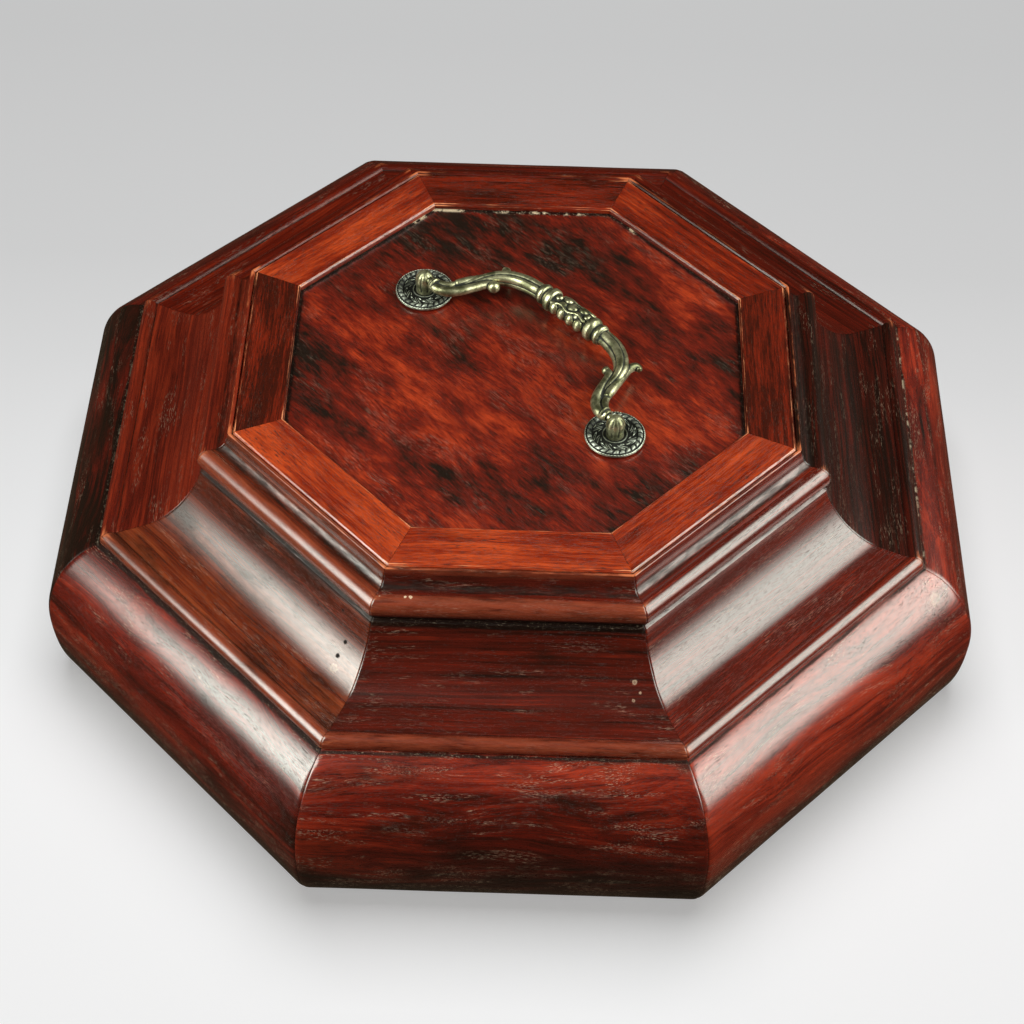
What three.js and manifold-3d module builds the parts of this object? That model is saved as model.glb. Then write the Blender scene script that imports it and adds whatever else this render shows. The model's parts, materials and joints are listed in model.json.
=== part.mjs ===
// Eight-sided lidded wooden box with a bulging body, a moulded lid and a swinging brass bail handle.
// Millimetres, +Z up. The origin is the middle of the underside, and a flat of the octagon faces -Y.
// An apothem is the level distance from the middle of the box to a flat side.

import * as THREE from 'three';
import { mergeVertices } from 'three/addons/utils/BufferGeometryUtils.js';
import Module from 'manifold-3d';

const wasm = await Module();
wasm.setup();

// Octagon and joints
const SIDES = 8;
const GAP = 0.3;
const SIDE_NAMES = [
  'front', 'front_right', 'right', 'back_right', 'back', 'back_left', 'left', 'front_left',
];

// Lid, outside: sizes are taken from the lip inward and from the top down
const LID_APOTHEM = 141.6;
const LID_HEIGHT = 36.9;
const MOULDING_REACH = 45;
const FILLET_DROP = 2.7;
const FILLET_STEP = 1;
const SMALL_COVE_RADIUS = 3.4;
const TORUS_WIDTH = 3.9;
const TORUS_HEIGHT = 8.8;
const TORUS_RISE = 0.6;
const QUIRK_HEIGHT = 0.5;
const QUIRK_DEPTH = 1.1;
const COVE_EDGE_STEP = 0.6;
const LEDGE_WIDTH = 10.4;
const LEDGE_THICKNESS = 2.5;
const LIP_RADIUS = 3;
const LIP_FLAT = 0.6;

// Lid, frame and panel
const MOULDING_LAND = 0.7;
const RAIL_WIDTH = 16.7;
const RAIL_THICKNESS = 8;
const RAIL_EASING = 0.6;
const RAIL_SUPPORT = 9;
const PANEL_SINK = 1.6;
const PANEL_TONGUE = 4;
const TONGUE_THICKNESS = 3;
const TONGUE_RAISE = 1.2;

// Lid, inside: the lip that drops into the body and stops the lid from sliding off
const LOCATING_LIP_DROP = 4;
const LOCATING_LIP_THICKNESS = 6;
const LID_PLAY = 0.5;

// Body
const BODY_HEIGHT = 58.1;
const LID_OVERHANG = 2.3;
const RIM_THICKNESS = 14.3;
const BELLY_BULGE = 22.9;
const BELLY_HEIGHT = 25.7;
const FOOT_TUCK = 5.7;
const WALL_LEAN = 12;
const BOARD_THICKNESS = 7;
const BOARD_RAISE = 4;
const BOARD_TONGUE = 4;

// Handle fittings. Their line runs across the lid from back left to front right
const HANDLE_TURN = -45;
const POST_SPACING = 96;
const ROSETTE_RADIUS = 10.4;
const ROSETTE_HOLE_RADIUS = 2.1;
const ROSETTE_SEAT_RADIUS = 4.6;
const ROSETTE_SEAT_HEIGHT = 0.9;
const ROSETTE_BEADS = 24;
const ROSETTE_BEAD_RADIUS = 0.95;
const ROSETTE_PETALS = 8;
const POST_FLANGE_RADIUS = 4.1;
const POST_NECK_RADIUS = 2.5;
const POST_HEAD_RADIUS = 3.2;
const POST_HEAD_TOP = 2.7;
const POST_LOBES = 8;
const POST_FLUTE_DEPTH = 0.12;

// Bail. It swings on two pins whose line is PIVOT_HEIGHT above the panel
const PIVOT_HEIGHT = 6.4;
const PIN_RADIUS = 1.1;
const PIN_CLEARANCE = 0.35;
const PIN_DEPTH = 3;
const SHOULDER_PLAY = 0.5;
const BAIL_REACH = 28.2;
const ARM_ROOT_RADIUS = 2.15;
const ARM_TOP_RADIUS = 2.75;
const ARM_REEDS = 6;
const ARM_REED_DEPTH = 0.2;
const LEAF_RADIUS = 1.45;
const BUD_RADIUS = 2.4;
const GRIP_CORE_RADIUS = 3.1;
const INNER_COLLAR_AT = 10.1;
const INNER_COLLAR_RADIUS = 4.3;
const INNER_COLLAR_WIDTH = 3.4;
const OUTER_COLLAR_AT = 14.1;
const OUTER_COLLAR_RADIUS = 3.5;
const OUTER_COLLAR_WIDTH = 2.4;
const GRIP_BEADS = 6;
const GRIP_BEAD_RADIUS = 1.4;

// Fineness of curves, in steps
const BELLY_STEPS = 11;
const FOOT_STEPS = 7;
const COVE_STEPS = 9;
const SMALL_COVE_STEPS = 3;
const TORUS_STEPS = 7;
const LIP_STEPS = 6;
const ROSETTE_STEPS = 24;
const PIN_STEPS = 12;
const ARM_STEPS = 18;
const LEAF_STEPS = 8;

// Places worked out from the driving dimensions
const HALF_SIDE = Math.tan(Math.PI / SIDES);
const CORNER = 1 / Math.cos(Math.PI / SIDES);
const MITRE_CLEARANCE = (GAP / 2) * CORNER;
const LID_BOTTOM = BODY_HEIGHT + GAP;
const LID_TOP = LID_BOTTOM + LID_HEIGHT;
const MOULDING_TOP_APOTHEM = LID_APOTHEM - MOULDING_REACH;
const RAIL_OUTER = MOULDING_TOP_APOTHEM - MOULDING_LAND - RAIL_EASING - GAP;
const RAIL_INNER = RAIL_OUTER - RAIL_WIDTH;
const RAIL_BOTTOM = LID_TOP - RAIL_THICKNESS;
const TONGUE_BOTTOM = RAIL_BOTTOM + TONGUE_RAISE;
const PANEL_TOP = LID_TOP - PANEL_SINK;
const SHOULDER_APOTHEM = LID_APOTHEM - LID_OVERHANG;
const RIM_INNER = SHOULDER_APOTHEM - RIM_THICKNESS;
const BELLY_APOTHEM = SHOULDER_APOTHEM + BELLY_BULGE;
const PIVOT_Z = PANEL_TOP + PIVOT_HEIGHT;
const POST_SEAT = PANEL_TOP + GAP + ROSETTE_SEAT_HEIGHT + GAP;
const HOLE_RADIUS = PIN_RADIUS + PIN_CLEARANCE;
const SHOULDER_AT = POST_SPACING / 2 - POST_HEAD_RADIUS - SHOULDER_PLAY;
const GRIP_HALF = OUTER_COLLAR_AT + OUTER_COLLAR_WIDTH / 2 + 0.4;
const GRIP_REST = INNER_COLLAR_RADIUS + GAP;
const BAIL_TILT = Math.asin((PIVOT_HEIGHT - GRIP_REST) / BAIL_REACH);

// Finishes
const RAIL_COLOUR = 0x7a2d18;
const PANEL_COLOUR = 0x5e1c12;
const MOULDING_COLOUR = 0x64251a;
const BODY_COLOUR = 0x4c1812;
const BOARD_COLOUR = 0x5a2a1c;
const BRASS_COLOUR = 0x8f8a68;

function wood(color) {
  return new THREE.MeshStandardMaterial({ color, roughness: 0.35, metalness: 0 });
}

function brass() {
  return new THREE.MeshStandardMaterial({ color: BRASS_COLOUR, roughness: 0.38, metalness: 1 });
}

// Points on an ellipse from one angle to another, in degrees.
function arc(cx, cy, rx, ry, from, to, steps) {
  const points = [];
  for (let i = 0; i <= steps; i += 1) {
    const angle = THREE.MathUtils.degToRad(from + ((to - from) * i) / steps);
    points.push([cx + rx * Math.cos(angle), cy + ry * Math.sin(angle)]);
  }
  return points;
}

function outlineShape(points) {
  return new THREE.Shape(points.map(([x, y]) => new THREE.Vector2(x, y)));
}

// A closed triangle mesh with shared corners: only positions are kept, and empty triangles are dropped.
function weld(geometry) {
  const bare = geometry.clone();
  bare.deleteAttribute('normal');
  bare.deleteAttribute('uv');
  const merged = mergeVertices(bare, 1e-4);
  const source = merged.getIndex().array;
  const kept = [];
  for (let i = 0; i < source.length; i += 3) {
    const [a, b, c] = source.slice(i, i + 3);
    if (a !== b && b !== c && c !== a) {
      kept.push(a, b, c);
    }
  }
  merged.setIndex(kept);
  return merged;
}

function toSolid(geometry) {
  const merged = weld(geometry);
  return new wasm.Manifold(new wasm.Mesh({
    numProp: 3,
    vertProperties: new Float32Array(merged.getAttribute('position').array),
    triVerts: new Uint32Array(merged.getIndex().array),
  }));
}

function toGeometry(solid) {
  const mesh = solid.getMesh();
  const geometry = new THREE.BufferGeometry();
  geometry.setAttribute('position', new THREE.BufferAttribute(mesh.vertProperties, 3));
  geometry.setIndex(new THREE.BufferAttribute(mesh.triVerts, 1));
  geometry.computeVertexNormals();
  return geometry;
}

// One straight length with the given cross-section, mitred to its neighbours at both ends.
// The cross-section holds [apothem, height] points, and the length faces the side with this number.
function mitredLength(name, outline, side, material) {
  const geometry = new THREE.ExtrudeGeometry(outlineShape(outline), { depth: 1, steps: 1, bevelEnabled: false });
  const position = geometry.getAttribute('position');
  for (let i = 0; i < position.count; i += 1) {
    const apothem = position.getX(i);
    const height = position.getY(i);
    const end = position.getZ(i) > 0.5 ? -1 : 1;
    position.setXYZ(i, apothem, end * (apothem * HALF_SIDE - MITRE_CLEARANCE), height);
  }
  geometry.computeVertexNormals();
  const mesh = new THREE.Mesh(geometry, material);
  mesh.name = `${name}_${SIDE_NAMES[side]}`;
  mesh.rotation.z = -Math.PI / 2 + (side * 2 * Math.PI) / SIDES;
  return mesh;
}

// A board with the octagon's outline, whose edge has the given [apothem, height] points from below.
function octagonalBoard(name, edge, material) {
  const points = [[0, edge[0][1]], ...edge, [0, edge[edge.length - 1][1]]];
  const profile = points.map(([apothem, height]) => new THREE.Vector2(apothem * CORNER, height));
  const geometry = new THREE.LatheGeometry(profile, SIDES, Math.PI / SIDES);
  geometry.rotateX(Math.PI / 2);
  const mesh = new THREE.Mesh(weld(geometry), material);
  mesh.name = name;
  return mesh;
}

// Inner face of a body wall: it leans outward towards the underside.
function wallInner(height) {
  return RIM_INNER + (WALL_LEAN * (BODY_HEIGHT - height)) / BODY_HEIGHT;
}

function bodyWallOutline() {
  const grooveBottom = BOARD_RAISE - GAP;
  const grooveTop = BOARD_RAISE + BOARD_THICKNESS + GAP;
  const grooveEnd = wallInner(BOARD_RAISE) + BOARD_TONGUE;
  const foot = arc(
    BELLY_APOTHEM - FOOT_TUCK, BELLY_HEIGHT, FOOT_TUCK, BELLY_HEIGHT, -90, 0, FOOT_STEPS,
  );
  const belly = arc(
    SHOULDER_APOTHEM, BELLY_HEIGHT, BELLY_BULGE, BODY_HEIGHT - BELLY_HEIGHT, 0, 90, BELLY_STEPS,
  );
  return [
    [wallInner(0), 0],
    ...foot,
    ...belly.slice(1),
    [wallInner(BODY_HEIGHT), BODY_HEIGHT],
    [wallInner(grooveTop), grooveTop],
    [grooveEnd, grooveTop],
    [grooveEnd, grooveBottom],
    [wallInner(grooveBottom), grooveBottom],
  ];
}

function bottomBoard() {
  const apothem = wallInner(BOARD_RAISE) + BOARD_TONGUE - GAP;
  const edge = [[apothem, BOARD_RAISE], [apothem, BOARD_RAISE + BOARD_THICKNESS]];
  return octagonalBoard('bottom_board', edge, wood(BOARD_COLOUR));
}

function coveOutline(edgeApothem, edgeHeight, footApothem, footHeight) {
  const run = footApothem - edgeApothem;
  const fall = edgeHeight - footHeight;
  const curve = new THREE.CubicBezierCurve(
    new THREE.Vector2(edgeApothem, edgeHeight),
    new THREE.Vector2(edgeApothem + 0.06 * run, edgeHeight - 0.28 * fall),
    new THREE.Vector2(edgeApothem + 0.45 * run, footHeight + 0.05 * fall),
    new THREE.Vector2(footApothem, footHeight),
  );
  return curve.getPoints(COVE_STEPS).map((point) => [point.x, point.y]);
}

function lidMouldingOutline() {
  const filletFoot = LID_TOP - FILLET_DROP;
  const coveCentre = MOULDING_TOP_APOTHEM + FILLET_STEP + SMALL_COVE_RADIUS;
  const smallCove = arc(
    coveCentre, filletFoot, SMALL_COVE_RADIUS, SMALL_COVE_RADIUS, 180, 270, SMALL_COVE_STEPS,
  );
  const torusTop = filletFoot - SMALL_COVE_RADIUS + TORUS_RISE;
  const torusCentre = torusTop - TORUS_HEIGHT / 2;
  const torusMiddle = coveCentre + 2.5;
  const torus = arc(torusMiddle, torusCentre, TORUS_WIDTH, TORUS_HEIGHT / 2, 100, -60, TORUS_STEPS);
  const quirkTop = torusTop - TORUS_HEIGHT;
  const coveEdge = quirkTop - QUIRK_HEIGHT;
  const coveEdgeApothem = torusMiddle + TORUS_WIDTH - COVE_EDGE_STEP;
  const ledge = LID_BOTTOM + LEDGE_THICKNESS;
  const lipCentre = LID_BOTTOM + LIP_FLAT;
  const lipStart = 180 - THREE.MathUtils.radToDeg(Math.asin((LEDGE_THICKNESS - LIP_FLAT) / LIP_RADIUS));
  const lip = arc(LID_APOTHEM - LIP_RADIUS, lipCentre, LIP_RADIUS, LIP_RADIUS, lipStart, 0, LIP_STEPS);
  const lipOuter = RIM_INNER - LID_PLAY;
  const lipInner = lipOuter - LOCATING_LIP_THICKNESS;
  const support = RAIL_BOTTOM - GAP;
  return [
    [RAIL_OUTER + GAP, LID_TOP - RAIL_EASING],
    [RAIL_OUTER + GAP, support],
    [RAIL_OUTER - RAIL_SUPPORT, support],
    [lipInner, LID_BOTTOM - LOCATING_LIP_DROP],
    [lipOuter, LID_BOTTOM - LOCATING_LIP_DROP],
    [lipOuter, LID_BOTTOM],
    [LID_APOTHEM, LID_BOTTOM],
    ...lip.reverse(),
    ...coveOutline(coveEdgeApothem, coveEdge, lip[lip.length - 1][0] - LEDGE_WIDTH, ledge).reverse(),
    [coveEdgeApothem - QUIRK_DEPTH, quirkTop],
    ...torus.reverse(),
    ...smallCove.reverse(),
    [MOULDING_TOP_APOTHEM, LID_TOP],
    [MOULDING_TOP_APOTHEM - MOULDING_LAND, LID_TOP],
  ];
}

function lidRailOutline() {
  const grooveEnd = RAIL_INNER + PANEL_TONGUE;
  const grooveBottom = TONGUE_BOTTOM - GAP;
  const grooveTop = TONGUE_BOTTOM + TONGUE_THICKNESS + GAP;
  return [
    [RAIL_INNER, RAIL_BOTTOM],
    [RAIL_OUTER, RAIL_BOTTOM],
    [RAIL_OUTER, LID_TOP - RAIL_EASING],
    [RAIL_OUTER - RAIL_EASING, LID_TOP],
    [RAIL_INNER + RAIL_EASING, LID_TOP],
    [RAIL_INNER, LID_TOP - RAIL_EASING],
    [RAIL_INNER, grooveTop],
    [grooveEnd, grooveTop],
    [grooveEnd, grooveBottom],
    [RAIL_INNER, grooveBottom],
  ];
}

function lidPanel() {
  const face = RAIL_INNER - GAP;
  const tongue = face + PANEL_TONGUE;
  const edge = [
    [face, RAIL_BOTTOM],
    [face, TONGUE_BOTTOM],
    [tongue, TONGUE_BOTTOM],
    [tongue, TONGUE_BOTTOM + TONGUE_THICKNESS],
    [face, TONGUE_BOTTOM + TONGUE_THICKNESS],
    [face, PANEL_TOP],
  ];
  return octagonalBoard('lid_panel', edge, wood(PANEL_COLOUR));
}

// A turned solid about Z from [radius, height] points that run from below to above.
function turned(points, steps) {
  const profile = points.map(([radius, height]) => new THREE.Vector2(radius, height));
  const geometry = new THREE.LatheGeometry(profile, steps);
  geometry.rotateX(Math.PI / 2);
  return geometry;
}

function ball(radius, around, along) {
  return new THREE.SphereGeometry(radius, around, along);
}

// A rosette: a dished plate with a raised rim, a ring of beads, a flower and a seat for the post.
function rosetteGeometry() {
  const rim = ROSETTE_RADIUS;
  const beadRing = rim - 1.5;
  const dish = 0.55;
  const plate = turned([
    [ROSETTE_HOLE_RADIUS, 0],
    [rim, 0],
    [rim, 0.6],
    [rim - 0.5, 0.9],
    [rim - 0.8, 0.7],
    [beadRing - 0.9, 0.7],
    [beadRing - 1.5, dish],
    [ROSETTE_SEAT_RADIUS + 0.6, dish],
    [ROSETTE_SEAT_RADIUS, ROSETTE_SEAT_HEIGHT],
    [ROSETTE_HOLE_RADIUS, ROSETTE_SEAT_HEIGHT],
    [ROSETTE_HOLE_RADIUS, 0],
  ], ROSETTE_STEPS);
  let solid = toSolid(plate);
  for (let i = 0; i < ROSETTE_BEADS; i += 1) {
    const bead = ball(ROSETTE_BEAD_RADIUS, 5, 3);
    bead.rotateX(Math.PI / 2);
    bead.scale(0.9, 1.15, 0.75);
    bead.translate(beadRing, 0, 0.75);
    bead.rotateZ((i * 2 * Math.PI) / ROSETTE_BEADS);
    solid = solid.add(toSolid(bead));
  }
  for (let i = 0; i < ROSETTE_PETALS; i += 1) {
    const petal = ball(1, 5, 3);
    petal.rotateX(Math.PI / 2);
    petal.scale(1.2, 0.95, 0.6);
    petal.translate((ROSETTE_SEAT_RADIUS + beadRing - 0.6) / 2, 0, dish);
    petal.rotateZ(((i + 0.5) * 2 * Math.PI) / ROSETTE_PETALS);
    solid = solid.add(toSolid(petal));
  }
  return toGeometry(solid);
}

// A post: a spigot through the rosette, a flange, a neck and a fluted dome that holds the bail's pin.
// The hole for the pin opens towards -X, and heights are taken from the panel.
function postGeometry() {
  const seat = POST_SEAT - PANEL_TOP;
  const geometry = turned([
    [0, GAP],
    [ROSETTE_HOLE_RADIUS - GAP, GAP],
    [ROSETTE_HOLE_RADIUS - GAP, seat],
    [POST_FLANGE_RADIUS, seat],
    [POST_FLANGE_RADIUS, seat + 0.5],
    [POST_NECK_RADIUS + 0.5, seat + 1],
    [POST_NECK_RADIUS, seat + 2],
    [POST_NECK_RADIUS, PIVOT_HEIGHT - 2.4],
    [POST_HEAD_RADIUS, PIVOT_HEIGHT - 1.2],
    [POST_HEAD_RADIUS, PIVOT_HEIGHT + 0.6],
    [POST_HEAD_RADIUS * 0.86, PIVOT_HEIGHT + 0.6 * POST_HEAD_TOP],
    [POST_HEAD_RADIUS * 0.55, PIVOT_HEIGHT + 0.9 * POST_HEAD_TOP],
    [0, PIVOT_HEIGHT + POST_HEAD_TOP],
  ], 2 * POST_LOBES);
  const position = geometry.getAttribute('position');
  for (let i = 0; i < position.count; i += 1) {
    if (position.getZ(i) > PIVOT_HEIGHT - 2) {
      const angle = Math.atan2(position.getY(i), position.getX(i));
      const flute = 1 - POST_FLUTE_DEPTH * (0.5 - 0.5 * Math.cos(POST_LOBES * angle));
      position.setXY(i, position.getX(i) * flute, position.getY(i) * flute);
    }
  }
  const depth = PIN_DEPTH + GAP;
  const hole = new THREE.CylinderGeometry(HOLE_RADIUS, HOLE_RADIUS, depth + 2, PIN_STEPS);
  hole.rotateZ(Math.PI / 2);
  hole.translate(-POST_HEAD_RADIUS - 2 + (depth + 2) / 2, 0, PIVOT_HEIGHT);
  return toGeometry(toSolid(geometry).subtract(toSolid(hole)));
}

// A bar along a curve in the XY plane. The section's x is across the bar and its y is along Z,
// and scaleAt gives the section's size at each share of the length.
function sweep(section, curve, steps, scaleAt) {
  const geometry = new THREE.ExtrudeGeometry(section, { depth: 1, steps, bevelEnabled: false });
  const position = geometry.getAttribute('position');
  const up = new THREE.Vector3(0, 0, 1);
  for (let i = 0; i < position.count; i += 1) {
    const share = THREE.MathUtils.clamp(position.getZ(i), 0, 1);
    const tangent = curve.getTangentAt(share);
    const across = new THREE.Vector3().crossVectors(up, tangent).normalize();
    const scale = scaleAt(share);
    const point = curve.getPointAt(share)
      .addScaledVector(across, position.getX(i) * scale)
      .addScaledVector(up, position.getY(i) * scale);
    position.setXYZ(i, point.x, point.y, point.z);
  }
  return geometry;
}

// A round section with reeds: unit radius at the crowns, less in the grooves between them.
function reededSection() {
  const points = [];
  const perReed = 3;
  for (let i = 0; i < ARM_REEDS * perReed; i += 1) {
    const angle = (i * 2 * Math.PI) / (ARM_REEDS * perReed);
    const radius = i % perReed === 0 ? 1 - ARM_REED_DEPTH : 1;
    points.push([radius * Math.cos(angle), radius * Math.sin(angle)]);
  }
  return outlineShape(points);
}

function roundSection(sides) {
  return outlineShape(arc(0, 0, 1, 1, 0, 360 - 360 / sides, sides - 1));
}

// A curve through points given as shares: the first runs from the grip's end to the shoulder at the
// post, and the second from the pin line to the grip. hand is 1 for the right arm and -1 for the left.
function bailCurve(shares, hand) {
  const span = SHOULDER_AT - GRIP_HALF;
  return new THREE.CatmullRomCurve3(shares.map(([along, out]) => new THREE.Vector3(
    hand * (GRIP_HALF + along * span),
    out * BAIL_REACH,
    0,
  )), false, 'centripetal');
}

function bailArm(hand) {
  const path = bailCurve([
    [1, 0], [0.92, 0.01], [0.8, 0.07], [0.7, 0.2], [0.62, 0.44], [0.55, 0.65], [0.44, 0.8],
    [0.25, 0.94], [0.06, 1], [-0.04, 1],
  ], hand);
  const growth = ARM_TOP_RADIUS - ARM_ROOT_RADIUS;
  return sweep(reededSection(), path, ARM_STEPS, (share) => ARM_ROOT_RADIUS + growth * share);
}

// The leaf follows the outer flank of the arm and curls away from it at the tip.
function bailLeaf(hand) {
  const path = bailCurve([
    [0.79, 0.17], [0.74, 0.33], [0.69, 0.5], [0.66, 0.66], [0.67, 0.8], [0.74, 0.89], [0.8, 0.86],
  ], hand);
  return sweep(roundSection(8), path, LEAF_STEPS, (share) => LEAF_RADIUS * (1 - 0.55 * share ** 2));
}

function bailBud(hand) {
  const bud = ball(BUD_RADIUS, 8, 6);
  bud.translate(hand * (GRIP_HALF + 0.43 * (SHOULDER_AT - GRIP_HALF)), 0.56 * BAIL_REACH, -0.5);
  return bud;
}

function bailPin(hand) {
  const length = PIN_DEPTH + SHOULDER_PLAY + 1;
  const pin = new THREE.CylinderGeometry(PIN_RADIUS, PIN_RADIUS, length, PIN_STEPS);
  pin.rotateZ(Math.PI / 2);
  pin.translate(hand * (SHOULDER_AT - 1 + length / 2), 0, 0);
  return pin;
}

function collar(at, radius, width) {
  const half = width / 2;
  return [
    [GRIP_CORE_RADIUS - 0.2, at - half],
    [radius - 0.35, at - 0.68 * half],
    [radius, at - 0.25 * half],
    [radius, at + 0.25 * half],
    [radius - 0.35, at + 0.68 * half],
    [GRIP_CORE_RADIUS - 0.2, at + half],
  ];
}

// The grip: a turned core with two collars at each end, and rings of beads between them.
function bailGrip() {
  const half = [
    [GRIP_CORE_RADIUS, INNER_COLLAR_AT - INNER_COLLAR_WIDTH / 2 - 0.4],
    ...collar(INNER_COLLAR_AT, INNER_COLLAR_RADIUS, INNER_COLLAR_WIDTH),
    ...collar(OUTER_COLLAR_AT, OUTER_COLLAR_RADIUS, OUTER_COLLAR_WIDTH),
    [0, GRIP_HALF],
  ];
  const mirrored = half.map(([radius, at]) => [radius, -at]).reverse();
  const core = turned([...mirrored, ...half], 16);
  core.rotateY(Math.PI / 2);
  let solid = toSolid(core);
  const beadDistance = INNER_COLLAR_RADIUS - GRIP_BEAD_RADIUS - 0.1;
  const rows = [[0, 1, 0], [-4.3, 0.85, 0.5], [4.3, 0.85, 0.5]];
  for (const [at, size, phase] of rows) {
    for (let i = 0; i < GRIP_BEADS; i += 1) {
      const bead = ball(GRIP_BEAD_RADIUS * size, 6, 5);
      bead.rotateX(Math.PI / 2);
      bead.scale(1.35, 1, 1);
      bead.translate(at, 0, beadDistance);
      bead.rotateX(((i + phase) * 2 * Math.PI) / GRIP_BEADS);
      solid = solid.add(toSolid(bead));
    }
  }
  return solid.translate(0, BAIL_REACH, 0);
}

// The bail is one casting. It is drawn flat in the XY plane with the pins on the X axis.
function bailGeometry() {
  let solid = bailGrip();
  for (const hand of [-1, 1]) {
    solid = solid.add(toSolid(bailArm(hand)));
    solid = solid.add(toSolid(bailLeaf(hand)));
    solid = solid.add(toSolid(bailBud(hand)));
    solid = solid.add(toSolid(bailPin(hand)));
  }
  return toGeometry(solid);
}

function handle() {
  const group = new THREE.Group();
  group.rotation.z = THREE.MathUtils.degToRad(HANDLE_TURN);
  for (const [side, hand] of [['left', -1], ['right', 1]]) {
    const rosette = new THREE.Mesh(rosetteGeometry(), brass());
    rosette.name = `rosette_${side}`;
    rosette.position.set((hand * POST_SPACING) / 2, 0, PANEL_TOP + GAP);
    group.add(rosette);
    const post = new THREE.Mesh(postGeometry(), brass());
    post.name = `post_${side}`;
    post.position.set((hand * POST_SPACING) / 2, 0, PANEL_TOP);
    post.rotation.z = hand > 0 ? 0 : Math.PI;
    group.add(post);
  }
  const bail = new THREE.Mesh(bailGeometry(), brass());
  bail.name = 'bail';
  bail.position.z = PIVOT_Z;
  bail.rotation.x = -BAIL_TILT;
  group.add(bail);
  return group;
}

function box() {
  const group = new THREE.Group();
  group.add(bottomBoard());
  for (let side = 0; side < SIDES; side += 1) {
    group.add(mitredLength('body_wall', bodyWallOutline(), side, wood(BODY_COLOUR)));
  }
  for (let side = 0; side < SIDES; side += 1) {
    group.add(mitredLength('lid_moulding', lidMouldingOutline(), side, wood(MOULDING_COLOUR)));
  }
  for (let side = 0; side < SIDES; side += 1) {
    group.add(mitredLength('lid_rail', lidRailOutline(), side, wood(RAIL_COLOUR)));
  }
  group.add(lidPanel());
  group.add(handle());
  return group;
}

export default box();
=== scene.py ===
# %% [markdown]
# # An eight-sided wooden box with a brass bail
# The object is a lidded box of dark red wood. Its body bulges, its lid steps up through a large
# hollow moulding to a framed panel, and a cast brass bail lies on the panel. The packed solids
# give every place and size. This notebook dresses them: each plain length of wood is replaced by
# a finely cut one, the castings are replaced by modelled ones, and every surface gets its finish.
# Sizes are written in millimetres and drawn in metres, in the frame of the solids, and nothing is
# moved by eye.

# %% Load the packed solids
import json
import math

import bpy
import numpy as np
from mathutils import Matrix, Vector


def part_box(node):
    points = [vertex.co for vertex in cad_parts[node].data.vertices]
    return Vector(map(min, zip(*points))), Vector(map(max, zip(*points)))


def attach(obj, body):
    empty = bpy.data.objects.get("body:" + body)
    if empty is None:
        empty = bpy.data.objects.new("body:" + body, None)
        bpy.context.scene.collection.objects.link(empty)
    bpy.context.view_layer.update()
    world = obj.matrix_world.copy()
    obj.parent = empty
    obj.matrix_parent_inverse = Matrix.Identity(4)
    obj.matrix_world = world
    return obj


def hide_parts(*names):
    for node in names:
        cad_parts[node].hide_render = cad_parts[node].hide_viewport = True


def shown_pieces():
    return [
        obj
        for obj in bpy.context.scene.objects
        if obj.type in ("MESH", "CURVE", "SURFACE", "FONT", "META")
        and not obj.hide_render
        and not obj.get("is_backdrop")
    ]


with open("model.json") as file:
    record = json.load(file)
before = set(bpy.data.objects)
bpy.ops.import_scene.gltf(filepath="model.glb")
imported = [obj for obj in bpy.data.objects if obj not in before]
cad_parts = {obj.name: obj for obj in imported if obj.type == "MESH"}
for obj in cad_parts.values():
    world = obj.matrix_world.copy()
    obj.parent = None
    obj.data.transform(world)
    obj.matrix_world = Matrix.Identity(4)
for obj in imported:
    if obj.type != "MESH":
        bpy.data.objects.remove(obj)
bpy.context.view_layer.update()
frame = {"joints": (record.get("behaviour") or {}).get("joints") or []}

# %% [markdown]
# ## Sizes
# The lengths of wood are cut from profiles, so the profiles' sizes come first. They are the same
# named sizes as in the solids, in millimetres, and two of them are read from the solids' own
# boxes and printed. A length's apothem is its level distance from the middle of the box.

# %% Name the sizes of the lid and the body
MM = 0.001
SIDES = 8
SIDE_NAMES = (
    "front", "front_right", "right", "back_right", "back", "back_left", "left", "front_left",
)
HALF_SIDE = math.tan(math.pi / SIDES)

LID_APOTHEM = 141.6
LID_BOTTOM = 58.4
LID_TOP = 95.3
RAIL_OUTER = 95.0
RAIL_INNER = 78.3
RAIL_BOTTOM = 87.3
PANEL_TOP = 93.7
BODY_HEIGHT = 58.1
SHOULDER = 139.3
BELLY = 162.2
BELLY_HEIGHT = 25.7
FOOT_TUCK = 5.7
RIM_INNER = 125.0
WALL_LEAN = 12.0

panel_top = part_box("lid_panel")[1].z / MM
belly = -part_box("body_wall_front")[0].y / MM
print("panel top", round(panel_top, 2), "and belly", round(belly, 2), "mm in the solids")

# %% [markdown]
# ## Profiles
# A profile is the outline that a plane iron would leave on the end of a length: arcs, straight
# runs and one drawn curve for the large hollow. Sharp corners of real wood are always a little
# rubbed, so each corner gets a small easing arc. A dense outline is then thinned, so that points
# stand close together near corners, where light breaks, and far apart on long runs.

# %% Draw curves as lists of apothem and height
def arc(centre, radii, start, end, steps=24):
    turns = np.radians(np.linspace(start, end, steps + 1))
    return [(centre[0] + radii[0] * math.cos(t), centre[1] + radii[1] * math.sin(t)) for t in turns]


def drawn_curve(a, b, c, d, steps=48):
    shares = np.linspace(0, 1, steps + 1)[:, None]
    rest = 1 - shares
    corners = [np.array(p, float) for p in (a, b, c, d)]
    weights = (rest**3, 3 * rest**2 * shares, 3 * rest * shares**2, shares**3)
    return [tuple(p) for p in sum(w * p for w, p in zip(weights, corners))]


print("a quarter arc has", len(arc((0, 0), (1, 1), 0, 90)), "points")

# %% Ease the sharp corners of an outline
SHARP = math.radians(28)
SHARE_OF_RUN = 0.45


def turn_at(before, here, after):
    into, out = here - before, after - here
    return math.atan2(into[0] * out[1] - into[1] * out[0], float(into @ out))


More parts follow.
